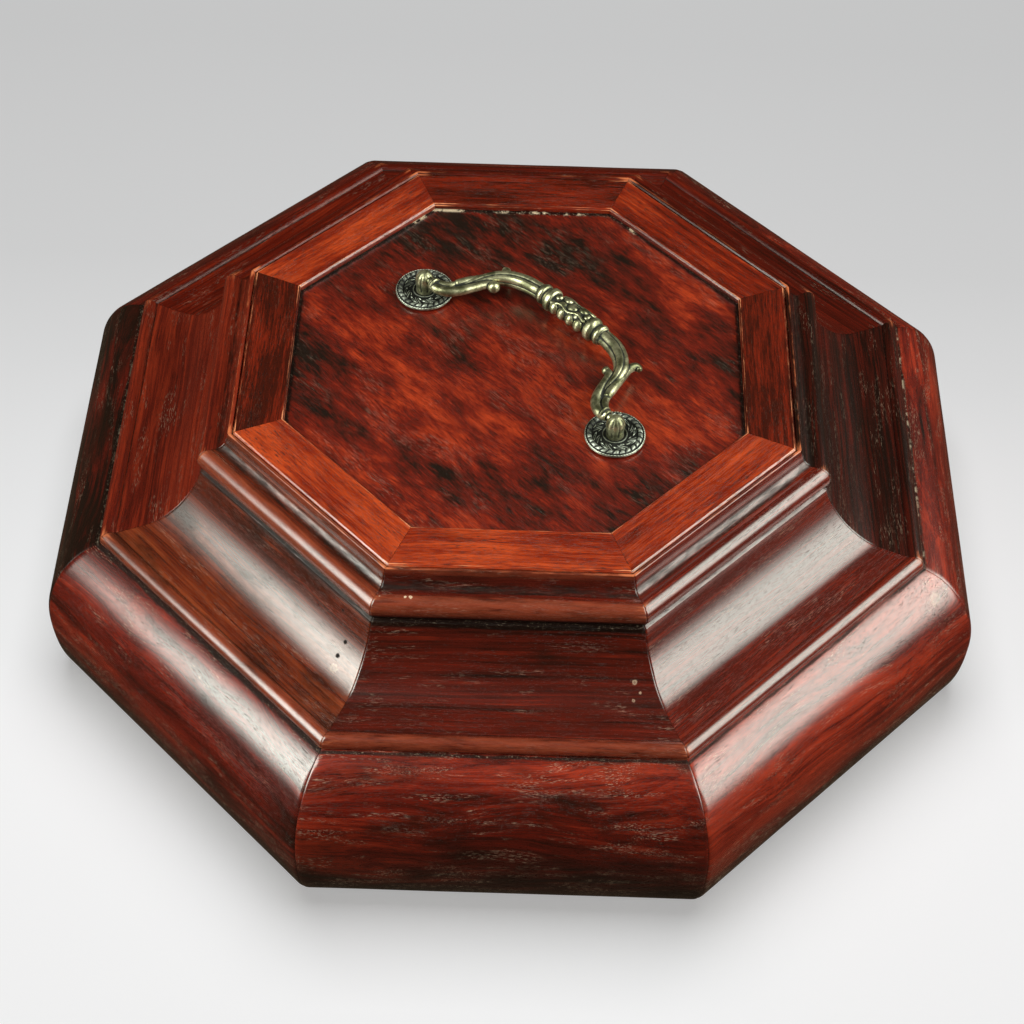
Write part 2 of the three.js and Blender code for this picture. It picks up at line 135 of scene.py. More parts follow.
def eased(outline, radius, steps=5):
    points = [np.array(p, float) for p in outline]
    made, corners = [], []
    for i, here in enumerate(points):
        before, after = points[i - 1], points[(i + 1) % len(points)]
        turn = turn_at(before, here, after)
        if abs(turn) < SHARP:
            made.append(here)
            continue
        longest = SHARE_OF_RUN * min(math.dist(before, here), math.dist(here, after))
        reach = min(radius * math.tan(abs(turn) / 2), longest)
        start = here + (before - here) / math.dist(before, here) * reach
        end = here + (after - here) / math.dist(after, here) * reach
        corners.append(here)
        for share in np.linspace(0, 1, steps):
            made.append((1 - share) ** 2 * start + 2 * share * (1 - share) * here + share**2 * end)
    return np.array(made), np.array(corners)


# %% Thin an outline where it runs straight
NEAREST = 0.16
FARTHEST = 1.5
OPENING = 0.45
CORNER_ZONE = 0.4
FINE_STEP = 0.12


def thinned(outline, corners):
    dense = []
    for a, b in zip(outline, np.roll(outline, -1, axis=0)):
        count = max(1, int(math.dist(a, b) / FINE_STEP))
        dense += [a + (b - a) * k / count for k in range(count)]
    kept = [dense[0]]
    for point in dense[1:]:
        away = np.min(np.hypot(*(corners - point).T))
        wanted = min(FARTHEST, NEAREST + OPENING * max(0.0, away - CORNER_ZONE))
        if math.dist(point, kept[-1]) >= wanted:
            kept.append(point)
    return np.array(kept)


# %% Measure how an outline bends, which says where it wears and where dirt settles
def band(distance, reach, full=1.0):
    return np.clip(full - np.abs(distance) / reach, 0, 1)


def bend_along(outline, reach, tightest=0.0):
    points = [np.array(p) for p in outline]
    count = len(points)
    turns = np.array([turn_at(points[i - 1], points[i], points[(i + 1) % count]) for i in range(count)])
    steps = np.hypot(*(outline - np.roll(outline, 1, axis=0)).T)
    if tightest:
        turns = np.clip(turns, -steps / tightest, steps / tightest)
    places = np.cumsum(steps)
    apart = np.abs(places[:, None] - places[None, :])
    apart = np.minimum(apart, places[-1] - apart)
    return (band(apart, reach) * turns[None, :]).sum(1)


def outward(outline):
    run = np.roll(outline, -1, axis=0) - np.roll(outline, 1, axis=0)
    run /= np.hypot(*run.T)[:, None]
    return np.stack([run[:, 1], -run[:, 0]], 1)


# %% Write down the three profiles
GROOVE_LOW, GROOVE_HIGH, GROOVE_DEPTH = 3.7, 11.3, 4.0
RAIL_GROOVE_LOW, RAIL_GROOVE_HIGH, RAIL_GROOVE_END = 88.2, 91.8, 82.3
BEVEL = 0.6


def body_profile():
    def inner(height):
        return RIM_INNER + WALL_LEAN * (BODY_HEIGHT - height) / BODY_HEIGHT

    foot = arc((BELLY - FOOT_TUCK, BELLY_HEIGHT), (FOOT_TUCK, BELLY_HEIGHT), -90, 0, 40)
    belly_arc = arc((SHOULDER, BELLY_HEIGHT), (BELLY - SHOULDER, BODY_HEIGHT - BELLY_HEIGHT), 0, 90, 64)
    deep = inner(GROOVE_DEPTH) + GROOVE_DEPTH
    groove = [(inner(GROOVE_HIGH), GROOVE_HIGH), (deep, GROOVE_HIGH)]
    groove += [(deep, GROOVE_LOW), (inner(GROOVE_LOW), GROOVE_LOW)]
    return [(inner(0), 0), *foot, *belly_arc[1:], (RIM_INNER, BODY_HEIGHT), *groove]


def moulding_profile():
    small_cove = arc((101.0, 92.6), (3.4, 3.4), 180, 270, 16)
    torus = arc((103.5, 85.4), (3.9, 4.4), 100, -60, 40)
    hollow = drawn_curve((106.8, 80.5), (107.95, 75.01), (115.41, 61.88), (125.84, 60.9))
    lip = arc((138.6, 59.0), (3.0, 3.0), 140.7, 0, 24)
    hidden = [(95.3, 94.7), (95.3, 87.0), (86.0, 87.0), (118.5, 54.4), (124.5, 54.4), (124.5, LID_BOTTOM)]
    slope = [(LID_APOTHEM, LID_BOTTOM), *lip[::-1], *hollow[::-1], (105.7, 81.0), *torus[::-1]]
    return [*hidden, *slope, *small_cove[::-1], (96.6, LID_TOP), (95.9, LID_TOP)]


def rail_profile():
    foot = [(RAIL_INNER, RAIL_BOTTOM), (RAIL_OUTER, RAIL_BOTTOM)]
    top = [(RAIL_OUTER, LID_TOP - BEVEL), (RAIL_OUTER - BEVEL, LID_TOP)]
    inner = [(RAIL_INNER + BEVEL, LID_TOP), (RAIL_INNER, LID_TOP - BEVEL)]
    groove = [(RAIL_INNER, RAIL_GROOVE_HIGH), (RAIL_GROOVE_END, RAIL_GROOVE_HIGH)]
    groove += [(RAIL_GROOVE_END, RAIL_GROOVE_LOW), (RAIL_INNER, RAIL_GROOVE_LOW)]
    return [*foot, *top, *inner, *groove]


for title, outline in (("body", body_profile()), ("moulding", moulding_profile()), ("rail", rail_profile())):
    print(title, "profile:", len(thinned(*eased(outline, 0.35))), "points")

# %% [markdown]
# ## Cutting a length
# On the real box each side is one length, sawn off at half the corner's angle at both ends and
# glued to its neighbours. A plain extrusion would be dead straight and razor sharp. So the
# profile is swept by our own code, which can do what a hand does: the surface wanders by a few
# hundredths of a millimetre, the outer corners at the joints are rubbed round, and the edge of
# each joint is a hair lower. Every point also carries what the finish needs to know: its place in
# the plank, how much its edge is rubbed, how much painted sheen its crest gets (partly rubbed
# wear), how much painted shade lies in its corners, seam and quirk (partly dirt), and its dust.

# %% A gentle, seeded unevenness for any surface
OCTAVES = 6


def unevenness(seed, first, second, wavelength):
    rng = np.random.default_rng(seed)
    height = np.zeros(np.broadcast(first, second).shape)
    for _ in range(OCTAVES):
        angle, phase = rng.uniform(0, 2 * math.pi, 2)
        pitch = 2 * math.pi / (wavelength * rng.uniform(0.6, 1.6))
        height += np.sin(pitch * (first * math.cos(angle) + second * math.sin(angle)) + phase) / OCTAVES
    return height


# %% Lay out the steps along a length, close together near the joints
NEAR_JOINT = [0, 0.1, 0.22, 0.4, 0.65, 1.0, 1.45, 2.0, 2.8, 4.0, 5.6]


def steps_along(half, pitch=2.0):
    start, end = NEAR_JOINT[-1], 2 * half - NEAR_JOINT[-1]
    middle = np.linspace(start, end, int((half - start) * 2 / pitch) + 1)
    return np.array([*NEAR_JOINT, *middle[1:-1], *[2 * half - place for place in NEAR_JOINT[::-1]]]) / half - 1


print("a side of 117 mm is swept in", len(steps_along(58.5)), "steps")

# %% Turn points and faces into an object of the scene
def make_object(name, points, faces, marks, sharp=38):
    mesh = bpy.data.meshes.new(name)
    mesh.from_pydata([tuple(p) for p in points], [], [tuple(f) for f in faces])
    for title, values in marks.items():
        if np.ndim(values) == 2:
            layer = mesh.attributes.new(title, "FLOAT_VECTOR", "POINT")
            layer.data.foreach_set("vector", np.ascontiguousarray(values, np.float32).ravel())
        else:
            layer = mesh.attributes.new(title, "FLOAT", "POINT")
            layer.data.foreach_set("value", np.ascontiguousarray(values, np.float32))
    mesh.polygons.foreach_set("use_smooth", [True] * len(mesh.polygons))
    mesh.update()
    mesh.set_sharp_from_angle(angle=math.radians(sharp))
    made = bpy.data.objects.new(name, mesh)
    bpy.context.scene.collection.objects.link(made)
    return made


# %% Skin rows of points as a tube that is closed by a point at each end
def tube_faces(rows, around):
    index = np.arange(rows * around).reshape(rows, around)
    ahead = np.roll(index, -1, axis=1)
    faces = np.stack([index[:-1], ahead[:-1], ahead[1:], index[1:]], -1).reshape(-1, 4).tolist()
    first_end, last_end = rows * around, rows * around + 1
    faces += [(first_end, int(b), int(a)) for a, b in zip(index[0], ahead[0])]
    faces += [(last_end, int(a), int(b)) for a, b in zip(index[-1], ahead[-1])]
    return faces


print("a tube of 3 rows of 8 points has", len(tube_faces(3, 8)), "faces")

# %% Note where each side is rubbed or dusty, where its crests get painted sheen that is partly rubbed wear, and where its corners get painted shade that is partly dirt
WEAR_REACH = {"wall": 0.9, "moulding": 0.55, "rail": 0.42}
WEAR_ALONG = {"wall": 0.8, "moulding": 0.5, "rail": 0.8}
# Painted sheen, partly rubbed wear: how much lighter each side's broad crests and torus top are painted.
SHEEN_AND_RUB_SIDES = (0.62, 0.3, 0.1, 0.15, 0.15, 0.15, 0.1, 0.55)
SHEEN_AND_RUB_TOP = (0.26, 0, 0, 0, 0, 0, 0, 0.3)
# Painted shade, partly dirt, in the seam under the lid's lip and in the quirk under the torus; the seam also holds
# dust.
SEAM_AT = 141.9
SEAM_REACH = (1.0, 0.8, 0.8, 0.8, 0.8, 0.8, 0.8, 1.9)
SEAM_DUST = (0.35, 0.15, 0.9, 0.4, 0.3, 0.3, 0.6, 0.1)
QUIRK_CORNER, QUIRK_SPAN = (106.5, 80.6), 1.6
QUIRK_MIDDLE, QUIRK_REACH = 81.6, 2.9
TORUS_FOOT = 83
HOLLOW_START = 109
UPPER_WALL = 50
SHADED_QUIRK = (1.3, 0.4, 0.6, 0.8, 0.8, 1.2, 0.6, 0.8)


def age_and_light_marks(name, side, profile, apothem, height):
    on_wall, on_moulding = name == "wall", name == "moulding"
    bend = bend_along(profile, WEAR_REACH[name])
    in_quirk = np.all(np.abs(profile - QUIRK_CORNER) < QUIRK_SPAN, axis=1)
    bend = np.where(in_quirk, 0.2 * bend, bend)[:, None]
    # Painted sheen, partly rubbed wear, on broad crests and on the top of the torus.
    broad_bend = bend_along(profile, 3.2, 2.0)[:, None] * on_moulding * SHEEN_AND_RUB_SIDES[side]
    top = np.clip((height - TORUS_FOOT) / 3, 0, 1) * on_moulding * SHEEN_AND_RUB_TOP[side]
    # Painted shade, partly dirt: concave corners, the seam under the lip and the quirk under the torus are
    # darkened.
    seam = band(apothem - SEAM_AT, SEAM_REACH[side], 1.2) * (height > UPPER_WALL) * on_wall
    quirk = band(height - QUIRK_MIDDLE, QUIRK_REACH, 1.3) * (apothem < HOLLOW_START) * on_moulding
    quirk = quirk * SHADED_QUIRK[side]
    grime = np.clip(-bend, 0, 2) + seam + quirk
    return np.clip(bend, 0, 2), np.clip(broad_bend + top, 0, 1), grime, seam * SEAM_DUST[side]


print("dust lies thick above", sum(share > 0.5 for share in SEAM_DUST), "of the walls")

# %% Sweep a profile between its two mitres
WAVE_PITCH = 42
JOINT_STEP = 0.07
JOINT_WEAR = 7
FOOT_SHADE = 34


def mitred_length(name, outline, side, easing, corner_radius, wander, gap=0.05):
    profile = thinned(*eased(outline, easing))
    normal = outward(profile)
    half = profile[:, 0].max() * HALF_SIDE
    share, apothem = np.meshgrid(steps_along(half), profile[:, 0])
    rows, columns = share.shape
    height = np.repeat(profile[:, 1:], columns, axis=1)
    from_end = (1 - np.abs(share)) * half
    bend, crest, grime, dust = age_and_light_marks(name, side, profile, apothem, height)

    run = np.concatenate([[0], np.cumsum(np.hypot(*np.diff(profile, axis=0).T))])[:, None]
    wave = wander * (unevenness(side * 7 + len(name), share * half, run, WAVE_PITCH) - 1) / 2
    inside = np.clip(corner_radius * HALF_SIDE - from_end, 0, None)
    rubbed = corner_radius - np.sqrt(corner_radius**2 - inside**2) + JOINT_STEP * band(from_end, 0.3)
    outside = (apothem > profile[:, 0].min() + 1) & (normal[:, :1] > -0.3)
    push = np.where(outside, -rubbed * normal[:, :1] * np.sign(normal[:, :1]) + wave, 0)
    apothem = apothem + push * normal[:, :1]
    height = height + push * normal[:, 1:]
    along = share * (apothem * HALF_SIDE - gap)
    points = np.stack([along, -apothem, height], -1).reshape(-1, 3)

    index = np.arange(rows * columns).reshape(rows, columns)
    above = np.roll(index, -1, axis=0)
    faces = np.stack([index[:, :-1], index[:, 1:], above[:, 1:], above[:, :-1]], -1).reshape(-1, 4).tolist()
    faces += [index[:, 0].tolist(), index[::-1, -1].tolist()]
    shift = np.random.default_rng(100 + side + 31 * len(name)).uniform(-3, 3, 3)
    marks = {
        "grain": points * MM + shift,
        "place": points * MM,
        "wear": (bend * (WEAR_ALONG[name] + 0.8 * band(from_end, JOINT_WEAR))).ravel(),
        # The crest mark is a painted sheen, partly rubbed wear; the mark of dark corners is painted shade, partly
        # dirt; the low mark sets the painted shade at a wall's foot.
        "crest": crest.ravel(),
        "grime": grime.ravel(),
        "joint": band(from_end, 0.5).ravel(),
        "low": (np.clip(1 - height / FOOT_SHADE, 0, 1) * (name == "wall")).ravel(),
        "dust": dust.ravel(),
    }
    made = make_object(f"{name}_{SIDE_NAMES[side]}", points * MM, faces, marks)
    made.rotation_euler.z = side * 2 * math.pi / SIDES
    return made


# %% Cut the body's walls, the lid's mouldings and the lid's rails
CUTS = {
    "wall": {"outline": body_profile(), "easing": 0.5, "corner_radius": 5.0, "wander": 0.12},
    "moulding": {"outline": moulding_profile(), "easing": 0.3, "corner_radius": 2.2, "wander": 0.05},
    "rail": {"outline": rail_profile(), "easing": 0.28, "corner_radius": 0.8, "wander": 0.05},
}
lengths = {}
for side in range(SIDES):
    for name, cut in CUTS.items():
        lengths[name, side] = mitred_length(name, side=side, **cut)
print(len(lengths), "lengths,", sum(len(o.data.polygons) for o in lengths.values()), "faces")

# %% [markdown]
# ## The panel and the bottom board
# Both are flat boards with eight sides, let into grooves. A ring of points for each step from the
# middle to the edge keeps the faces even, and lets the panel dish and swell very slightly, as an
# old board does. Its grain runs with the handle, from back left to front right.

# %% Give a board its marks: painted shade that is partly dirt, and dust, at its edge, and a lighter place near its middle
LIGHT_PLACE = (-3, -24)


def board_marks(points, apothem, grain_turn):
    facing = np.arange(SIDES) * 2 * math.pi / SIDES
    level = np.outer(points[:, 0], np.cos(facing)) + np.outer(points[:, 1], np.sin(facing))
    edge_distance = apothem - level.max(1)
    off_centre = np.hypot(points[:, 0] - LIGHT_PLACE[0], points[:, 1] - LIGHT_PLACE[1])
    far = np.clip((points[:, 1] - 40) / 30, 0, 1)
    cosine, sine = math.cos(grain_turn), math.sin(grain_turn)
    spin = np.array([[cosine, -sine, 0], [sine, cosine, 0], [0, 0, 1]])
    none = 0 * edge_distance
    return {
        "grain": points @ spin.T * MM + 1.7,
        "place": points * MM,
        # Painted shade, partly dirt, along the board's edge where it meets the rails.
        "grime": band(edge_distance, 1.5),
        "dust": band(edge_distance, 0.7, 1.4) * (far > 0.9),
        "tone": 0.54 - 0.18 * np.clip((off_centre - 24) / 60, 0, 1) - 0.08 * far,
        "dirt": none + 0.25,
        **{title: none for title in ("wear", "crest", "joint", "low")},
    }


# %% Build a board from rings with eight corners
def board(name, edge, rings, wander, grain_turn):
    around = 20 * SIDES
    angles = (np.arange(around) / around) * 2 * math.pi
    within = (angles + math.pi / SIDES) % (2 * math.pi / SIDES) - math.pi / SIDES
    stretch = 1 / np.cos(within)
    profile, _ = eased(np.array(edge), 0.25)
    first, last = profile[0], profile[-1]
    under = [(first[0] * k / 6, first[1]) for k in range(1, 6)]
    top = [(last[0] * k / rings, last[1]) for k in range(rings - 1, 0, -1)]
    outline = np.array([*under, *profile, *top])
    points = []
    for apothem, height in outline:
        x, y = apothem * stretch * np.cos(angles), apothem * stretch * np.sin(angles)
        lift = wander * (unevenness(len(name), x, y, 60) - 1) / 2 if height == last[1] else 0 * x
        points.append(np.stack([x, y, height + lift], -1))
    points = np.concatenate([*points, [(0, 0, first[1]), (0, 0, last[1] - wander / 2)]])
    marks = board_marks(points, last[0], grain_turn)
    return make_object(name, points * MM, tube_faces(len(outline), around), marks)


panel_edge = [(78.0, RAIL_BOTTOM), (78.0, 88.5), (82.0, 88.5), (82.0, 91.5), (78.2, 91.5), (78.2, PANEL_TOP)]
panel = board("panel", panel_edge, 40, 0.12, math.radians(45))
bottom = board("bottom", [(139.8, 4.0), (139.8, 11.0)], 12, 0.0, 0.0)
print("panel and bottom:", len(panel.data.polygons), "and", len(bottom.data.polygons), "faces")

# %% [markdown]
# ## Shader maths
# A finish is a calculation on noise and on the marks that the points carry. Wiring it by hand is
# slow to read, so one small class wraps an output, and Python's own operators add the Math nodes.
# A bench makes every other node: its settings are set first, then its sockets are filled with
# numbers, colours or other outputs.

# %% Wrap a node's output so that it can be used in arithmetic
class Term:
    def __init__(self, bench, socket):
        self.bench = bench
        self.socket = socket

    def maths(self, operation, first, second):
        return self.bench.node("ShaderNodeMath", {"operation": operation}, {0: first, 1: second})

    def __add__(self, other):
        return self.maths("ADD", self, other)

    def __radd__(self, other):
        return self.maths("ADD", other, self)

    def __sub__(self, other):
        return self.maths("SUBTRACT", self, other)

    def __rsub__(self, other):
        return self.maths("SUBTRACT", other, self)

    def __mul__(self, other):
        return self.maths("MULTIPLY", self, other)

    def __rmul__(self, other):
        return self.maths("MULTIPLY", other, self)

    def over(self, low, high):
        return self.bench.node(
            "ShaderNodeMapRange",
            {"interpolation_type": "SMOOTHSTEP"},
            {"Value": self, "From Min": low, "From Max": high},
        )


# %% The bench that makes nodes, noise drawn out along the grain, and mixtures of colours
class Bench:
    def __init__(self, name):
        self.material = bpy.data.materials.new(name)
        self.material.use_nodes = True
        self.tree = self.material.node_tree
        self.tree.nodes.clear()

    def node(self, kind, settings=None, sockets=None, output=0):
        made = self.tree.nodes.new(kind)
        for key, value in (settings or {}).items():
            if key == "stops":
                self.set_stops(made.color_ramp, value)
            else:
                setattr(made, key, value)
        for key, value in (sockets or {}).items():
            if isinstance(value, Term):
                self.tree.links.new(value.socket, made.inputs[key])
            else:
                made.inputs[key].default_value = value
        return Term(self, made.outputs[output])

    def set_stops(self, ramp, stops):
        while len(ramp.elements) < len(stops):
            ramp.elements.new(0.5)
        for element, (place, colour) in zip(ramp.elements, stops):
            element.position = place
            element.color = colour

    def mark(self, name, output="Fac"):
        return self.node("ShaderNodeAttribute", {"attribute_name": name}, output=output)

    def vector(self, operation, first, second):
        return self.node("ShaderNodeVectorMath", {"operation": operation}, {0: first, 1: second})

    def noise(self, place, sizes, detail=2.0, roughness=0.5, output="Fac"):
        scaled = self.vector("MULTIPLY", place, tuple(1 / (MM * s) for s in sizes))
        sockets = {"Vector": scaled, "Scale": 1.0, "Detail": detail, "Roughness": roughness}
        return self.node("ShaderNodeTexNoise", sockets=sockets, output=output)

    def mix(self, factor, first, second, blend="MIX"):
        settings = {"data_type": "RGBA", "blend_type": blend}
        return self.node("ShaderNodeMix", settings, {0: factor, 6: first, 7: second}, output=2)

    def finish(self, sockets, height, depth):
        if height is not None:
            bump = {"Strength": 1.0, "Distance": depth, "Height": height}
            sockets = {**sockets, "Normal": self.node("ShaderNodeBump", sockets=bump)}
        shader = self.node("ShaderNodeBsdfPrincipled", sockets=sockets)
        end = self.tree.nodes.new("ShaderNodeOutputMaterial")
        self.tree.links.new(shader.socket, end.inputs["Surface"])
        return self.material


print("a bench can:", ", ".join(title for title in vars(Bench) if not title.startswith("_")))

# %% Turn a colour as a screen shows it into linear light
def colour(red, green, blue):
    channels = []
    for value in (red, green, blue):
        share = value / 255
        channels.append(share / 12.92 if share <= 0.04045 else ((share + 0.055) / 1.055) ** 2.4)
    return (*channels, 1.0)


print("tan in linear light:", [round(channel, 3) for channel in colour(190, 120, 85)])

# %% [markdown]
# ## Red-brown wood under lacquer
# The wood is dense and dark: long fine lines of red and near-black, broad soft clouds, open pores
# drawn out along the grain, and a thin old lacquer. It could be painted with an image, but a
# solid of grain is closer to wood: the same lines run through the whole plank, so a hollow cut
# across them shows them as bands. Noise drawn out along the plank gives clouds, lines and flecks.
# Over them come what years add: chalk in the pores, stains, dust and the glue lines at the joints;
# and painted light: a painted sheen on the crests that is partly rubbed wear, painted shade in the
# corners that is partly dirt, and painted shade at the foot of the walls.

# %% Lay out the grain as one value from dark to light
def figure(bench, cloud, streak, fleck, drift, bands):
    grain = bench.mark("grain", "Vector")
    wander = bench.noise(grain, (drift[0], drift[0] / 3, drift[0] / 3), 2.0, output="Color")
    centred = bench.vector("SUBTRACT", wander, (0.5, 0.5, 0.5))
    wandering = bench.vector("ADD", grain, bench.vector("MULTIPLY", centred, (0.0, drift[1] * MM, drift[1] * MM)))
    value = bench.mark("tone")
    for long, across, share in (cloud, streak, fleck):
        value = value + (bench.noise(wandering, (long, across, across), 3.0, 0.58) - 0.5) * (2.4 * share)
    if bands:
        squeezed = bench.vector("MULTIPLY", wandering, (4.0, 60.0, 75.0))
        settings = {"wave_type": "BANDS", "bands_direction": "Z", "wave_profile": "SAW"}
        sockets = {"Vector": squeezed, "Scale": 1.0, "Distortion": 5.0, "Detail": 2.0, "Detail Scale": 1.2}
        rings = bench.node("ShaderNodeTexWave", settings, sockets, output=1)
        value = value + (rings - 0.5) * bands
    return grain, wandering, value


# %% Round spots at chosen places, for old worm holes and plugs
def spot(bench, centre, radius, soft=0.3, ragged=0.0):
    place = bench.mark("place", "Vector")
    offset = bench.vector("SUBTRACT", place, tuple(c * MM for c in centre))
    away = bench.node("ShaderNodeVectorMath", {"operation": "LENGTH"}, {0: offset}, output=1)
    away = away + (bench.noise(place, (0.7, 0.7, 0.7), 2.0, 0.6) - 0.5) * (radius * ragged * MM)
    return 1 - away.over(radius * (1 - soft) * MM, radius * (1 + soft) * MM)


# %% Open the pores, paint shade at the foot of a wall, and lay chalk in some of the pores
def pores_and_chalk(bench, paint, grain, wandering, pores, chalk, scratch):
    patches = bench.noise(grain, (30, 12, 12), 2.0).over(0.40, 0.62)
    dashes = bench.noise(wandering, (3.6, 0.26, 0.26), 1.0).over(0.62, 0.67)
    pits = bench.noise(wandering, (1.8, 0.22, 0.22), 0.0).over(0.60, 0.69)
    opened = (dashes * (0.3 + 0.7 * patches) + pits * 0.45) * pores
    paint = bench.mix(opened * 0.85, paint, colour(20, 7, 4))
    # Painted shade: the walls are painted darker towards their foot.
    low = bench.mark("low")
    painted_foot_shade = (low + (bench.noise(wandering, (60, 9, 9), 3.0, 0.6) - 0.5) * 1.2).over(0.27, 0.84)
    paint = bench.mix(painted_foot_shade * 0.88, paint, colour(18, 10, 6))
    long, across, patch = scratch
    scratches = bench.noise(wandering, (long, across, across), 1.0).over(0.60, 0.66)
    chalked = scratches * (bench.noise(wandering, (22, patch, patch), 2.0) + low * 0.12).over(0.53, 0.63)
    paint = bench.mix(chalked * (chalk + low * 0.35), paint, colour(200, 170, 146))
    return paint, opened, chalked


# %% Add stains, dust and glue lines, painted sheen that is partly rubbed wear on the crests, and painted shade that is partly dirt in the corners
# Near-black used for painted shade, partly dirt, in corners, seams and quirks, and for the glue lines.
DIRT_AND_SHADE_BLACK = (16, 8, 5)


def age_and_painted_light(bench, paint, grain, worn, crest_sheen_share):
    ragged = bench.noise(grain, (9, 1.4, 1.4), 3.0, 0.65)
    blotch = bench.noise(grain, (34, 13, 13), 4.0, 0.62)
    stain = ((blotch - 0.5) * 2.6 + bench.mark("dirt")).over(0.45, 1.15)
    paint = bench.mix(stain * 0.8, paint, colour(22, 11, 6))
    # Painted sheen, partly rubbed wear: the crests are painted a lighter brown.
    crest = (bench.mark("crest") * (0.8 + (ragged - 0.5) * 1.6)).over(0.12, 0.75)
    paint = bench.mix(crest * crest_sheen_share, paint, colour(152, 70, 46))
    rubbed = (bench.mark("wear") * (0.8 + (ragged - 0.5) * 2.2)).over(0.3, 0.75)
    paint = bench.mix(rubbed * 0.85, paint, worn)
    # Painted shade, partly dirt: corners, seams and quirks are painted near-black and lose their lacquer.
    settled_dirt_and_shade = (bench.mark("grime") * (1.0 + (ragged - 0.5) * 2.0)).over(0.25, 0.75)
    paint = bench.mix(settled_dirt_and_shade * 0.9, paint, colour(*DIRT_AND_SHADE_BLACK))
    specks = bench.noise(grain, (0.8, 0.4, 0.4), 2.0, 0.7).over(0.60, 0.68)
    dusty_places = (bench.mark("grime") * 0.5 + bench.mark("dust")).over(0.1, 0.8)
    drifts = bench.noise(grain, (6, 6, 6), 4.0, 0.65).over(0.5, 0.58) * bench.mark("dust").over(0.3, 1.0)
    dust = specks * dusty_places * 0.35 + drifts * 0.9
    paint = bench.mix(dust, paint, colour(196, 176, 152))
    glue = (bench.mark("joint") + (ragged - 0.5) * 2.6).over(0.8, 1.4)
    paint = bench.mix(glue * 0.7, paint, colour(*DIRT_AND_SHADE_BLACK))
    return paint, stain, rubbed, settled_dirt_and_shade, dust


# %% Leave worm holes open, and ring the plugged ones
def holes_and_plugs(bench, paint, holes, plugs):
    pitted = 0.0
    for centre, radius in holes:
        hole = spot(bench, centre, radius)
        paint = bench.mix(hole * 0.97, paint, colour(5, 3, 2))
        pitted = hole + pitted
    for centre, radius, share in plugs:
        plug = spot(bench, centre, radius, 0.3, 1.3) - spot(bench, centre, radius * 0.6, 0.3, 1.3) * 0.6
        paint = bench.mix(plug * share, paint, colour(214, 186, 160))
    return paint, pitted


# %% Work out the wood's finish
def wood(name, dark, middle, light, worn, cloud=(90, 24, 0.30), streak=(240, 1.3, 0.5), fleck=(16, 0.45, 0.26),
         drift=(110, 8), bands=0.0, pores=0.6, chalk=0.2, scratch=(2.4, 0.2, 4.0), gloss=0.24, lacquer=0.95,
         crest_sheen_share=0.3, holes=(), plugs=()):
    bench = Bench(name)
    grain, wandering, value = figure(bench, cloud, streak, fleck, drift, bands)
    stops = [(0.0, dark), (0.5, middle), (1.0, light)]
    paint = bench.node("ShaderNodeValToRGB", {"stops": stops}, {"Fac": value})
    paint, opened, chalked = pores_and_chalk(bench, paint, grain, wandering, pores, chalk, scratch)
    paint, stain, rubbed, settled_dirt_and_shade, dust = age_and_painted_light(bench, paint, grain, worn, crest_sheen_share)
    paint, pitted = holes_and_plugs(bench, paint, holes, plugs)

    handled = bench.noise(grain, (30, 16, 16), 3.0, 0.6)
    dull = opened * 0.2 + settled_dirt_and_shade * 0.1 + dust * 0.3 + rubbed * 0.15 + pitted * 0.5
    coat = lacquer * (1 - bench.mark("matt")) * (1 - settled_dirt_and_shade) * (1 - opened * 0.85)
    sockets = {
        "Base Color": paint,
        "Roughness": gloss + (handled - 0.5) * 0.1 + dull,
        "Specular IOR Level": 0.22,
        "Coat Weight": coat * (1 - rubbed * 0.5) * (1 - stain * 0.3) * (1 - pitted),
        "Coat Roughness": 0.83 * gloss,
        "Coat IOR": 1.72,
    }
    fibre = bench.noise(grain, (6, 0.2, 0.2), 1.0, 0.5)
    relief = fibre * 0.14 + handled * 0.12 - opened * 0.9 - chalked * 0.5 - pitted * 3.0
    return bench.finish(sockets, relief, 0.07 * MM)


# %% Choose the colours of each wood, and say where its holes and plugs are
def palette(dark, middle, light, worn=(190, 104, 66)):
    return {"dark": colour(*dark), "middle": colour(*middle), "light": colour(*light), "worn": colour(*worn)}


RED_BROWN = palette((22, 5, 2), (82, 18, 8), (134, 42, 20))
OLIVE_BROWN = palette((24, 9, 4), (92, 31, 14), (146, 68, 36))
DEEP_RED = palette((20, 6, 3), (92, 19, 9), (150, 46, 25))
ORANGE_BROWN = palette((54, 12, 4), (114, 29, 11), (172, 64, 28), (214, 134, 94))
FIGURED = palette((20, 8, 3), (96, 19, 6), (156, 50, 20), (180, 100, 70))
PLAIN = palette((60, 30, 22), (100, 50, 34), (130, 70, 48), (150, 100, 70))
BODY = dict(cloud=(64, 16, 0.62), streak=(170, 2.4, 0.46), fleck=(14, 0.5, 0.34), drift=(110, 30), bands=0.16,
            pores=0.75, **DEEP_RED)
WORM_HOLES = [
    ((37.9, -112.8, 69.0), 0.7), ((38.1, -116.5, 65.2), 0.75),
    ((31.9, -108.3, 76.3), 0.5), ((22.0, -110.6, 72.1), 0.35),
]
FRONT_PLUGS = [
    ((-41.5, -103.5, 89.4), 0.4, 0.8), ((-31.5, -103.5, 89.4), 0.65, 1.0), ((-33.2, -103.5, 89.4), 0.5, 1.0),
    ((41.5, -116.5, 65.2), 0.75, 0.5), ((43.4, -119.2, 63.2), 0.4, 0.6), ((41.3, -121.5, 62.0), 0.5, 0.4),
]

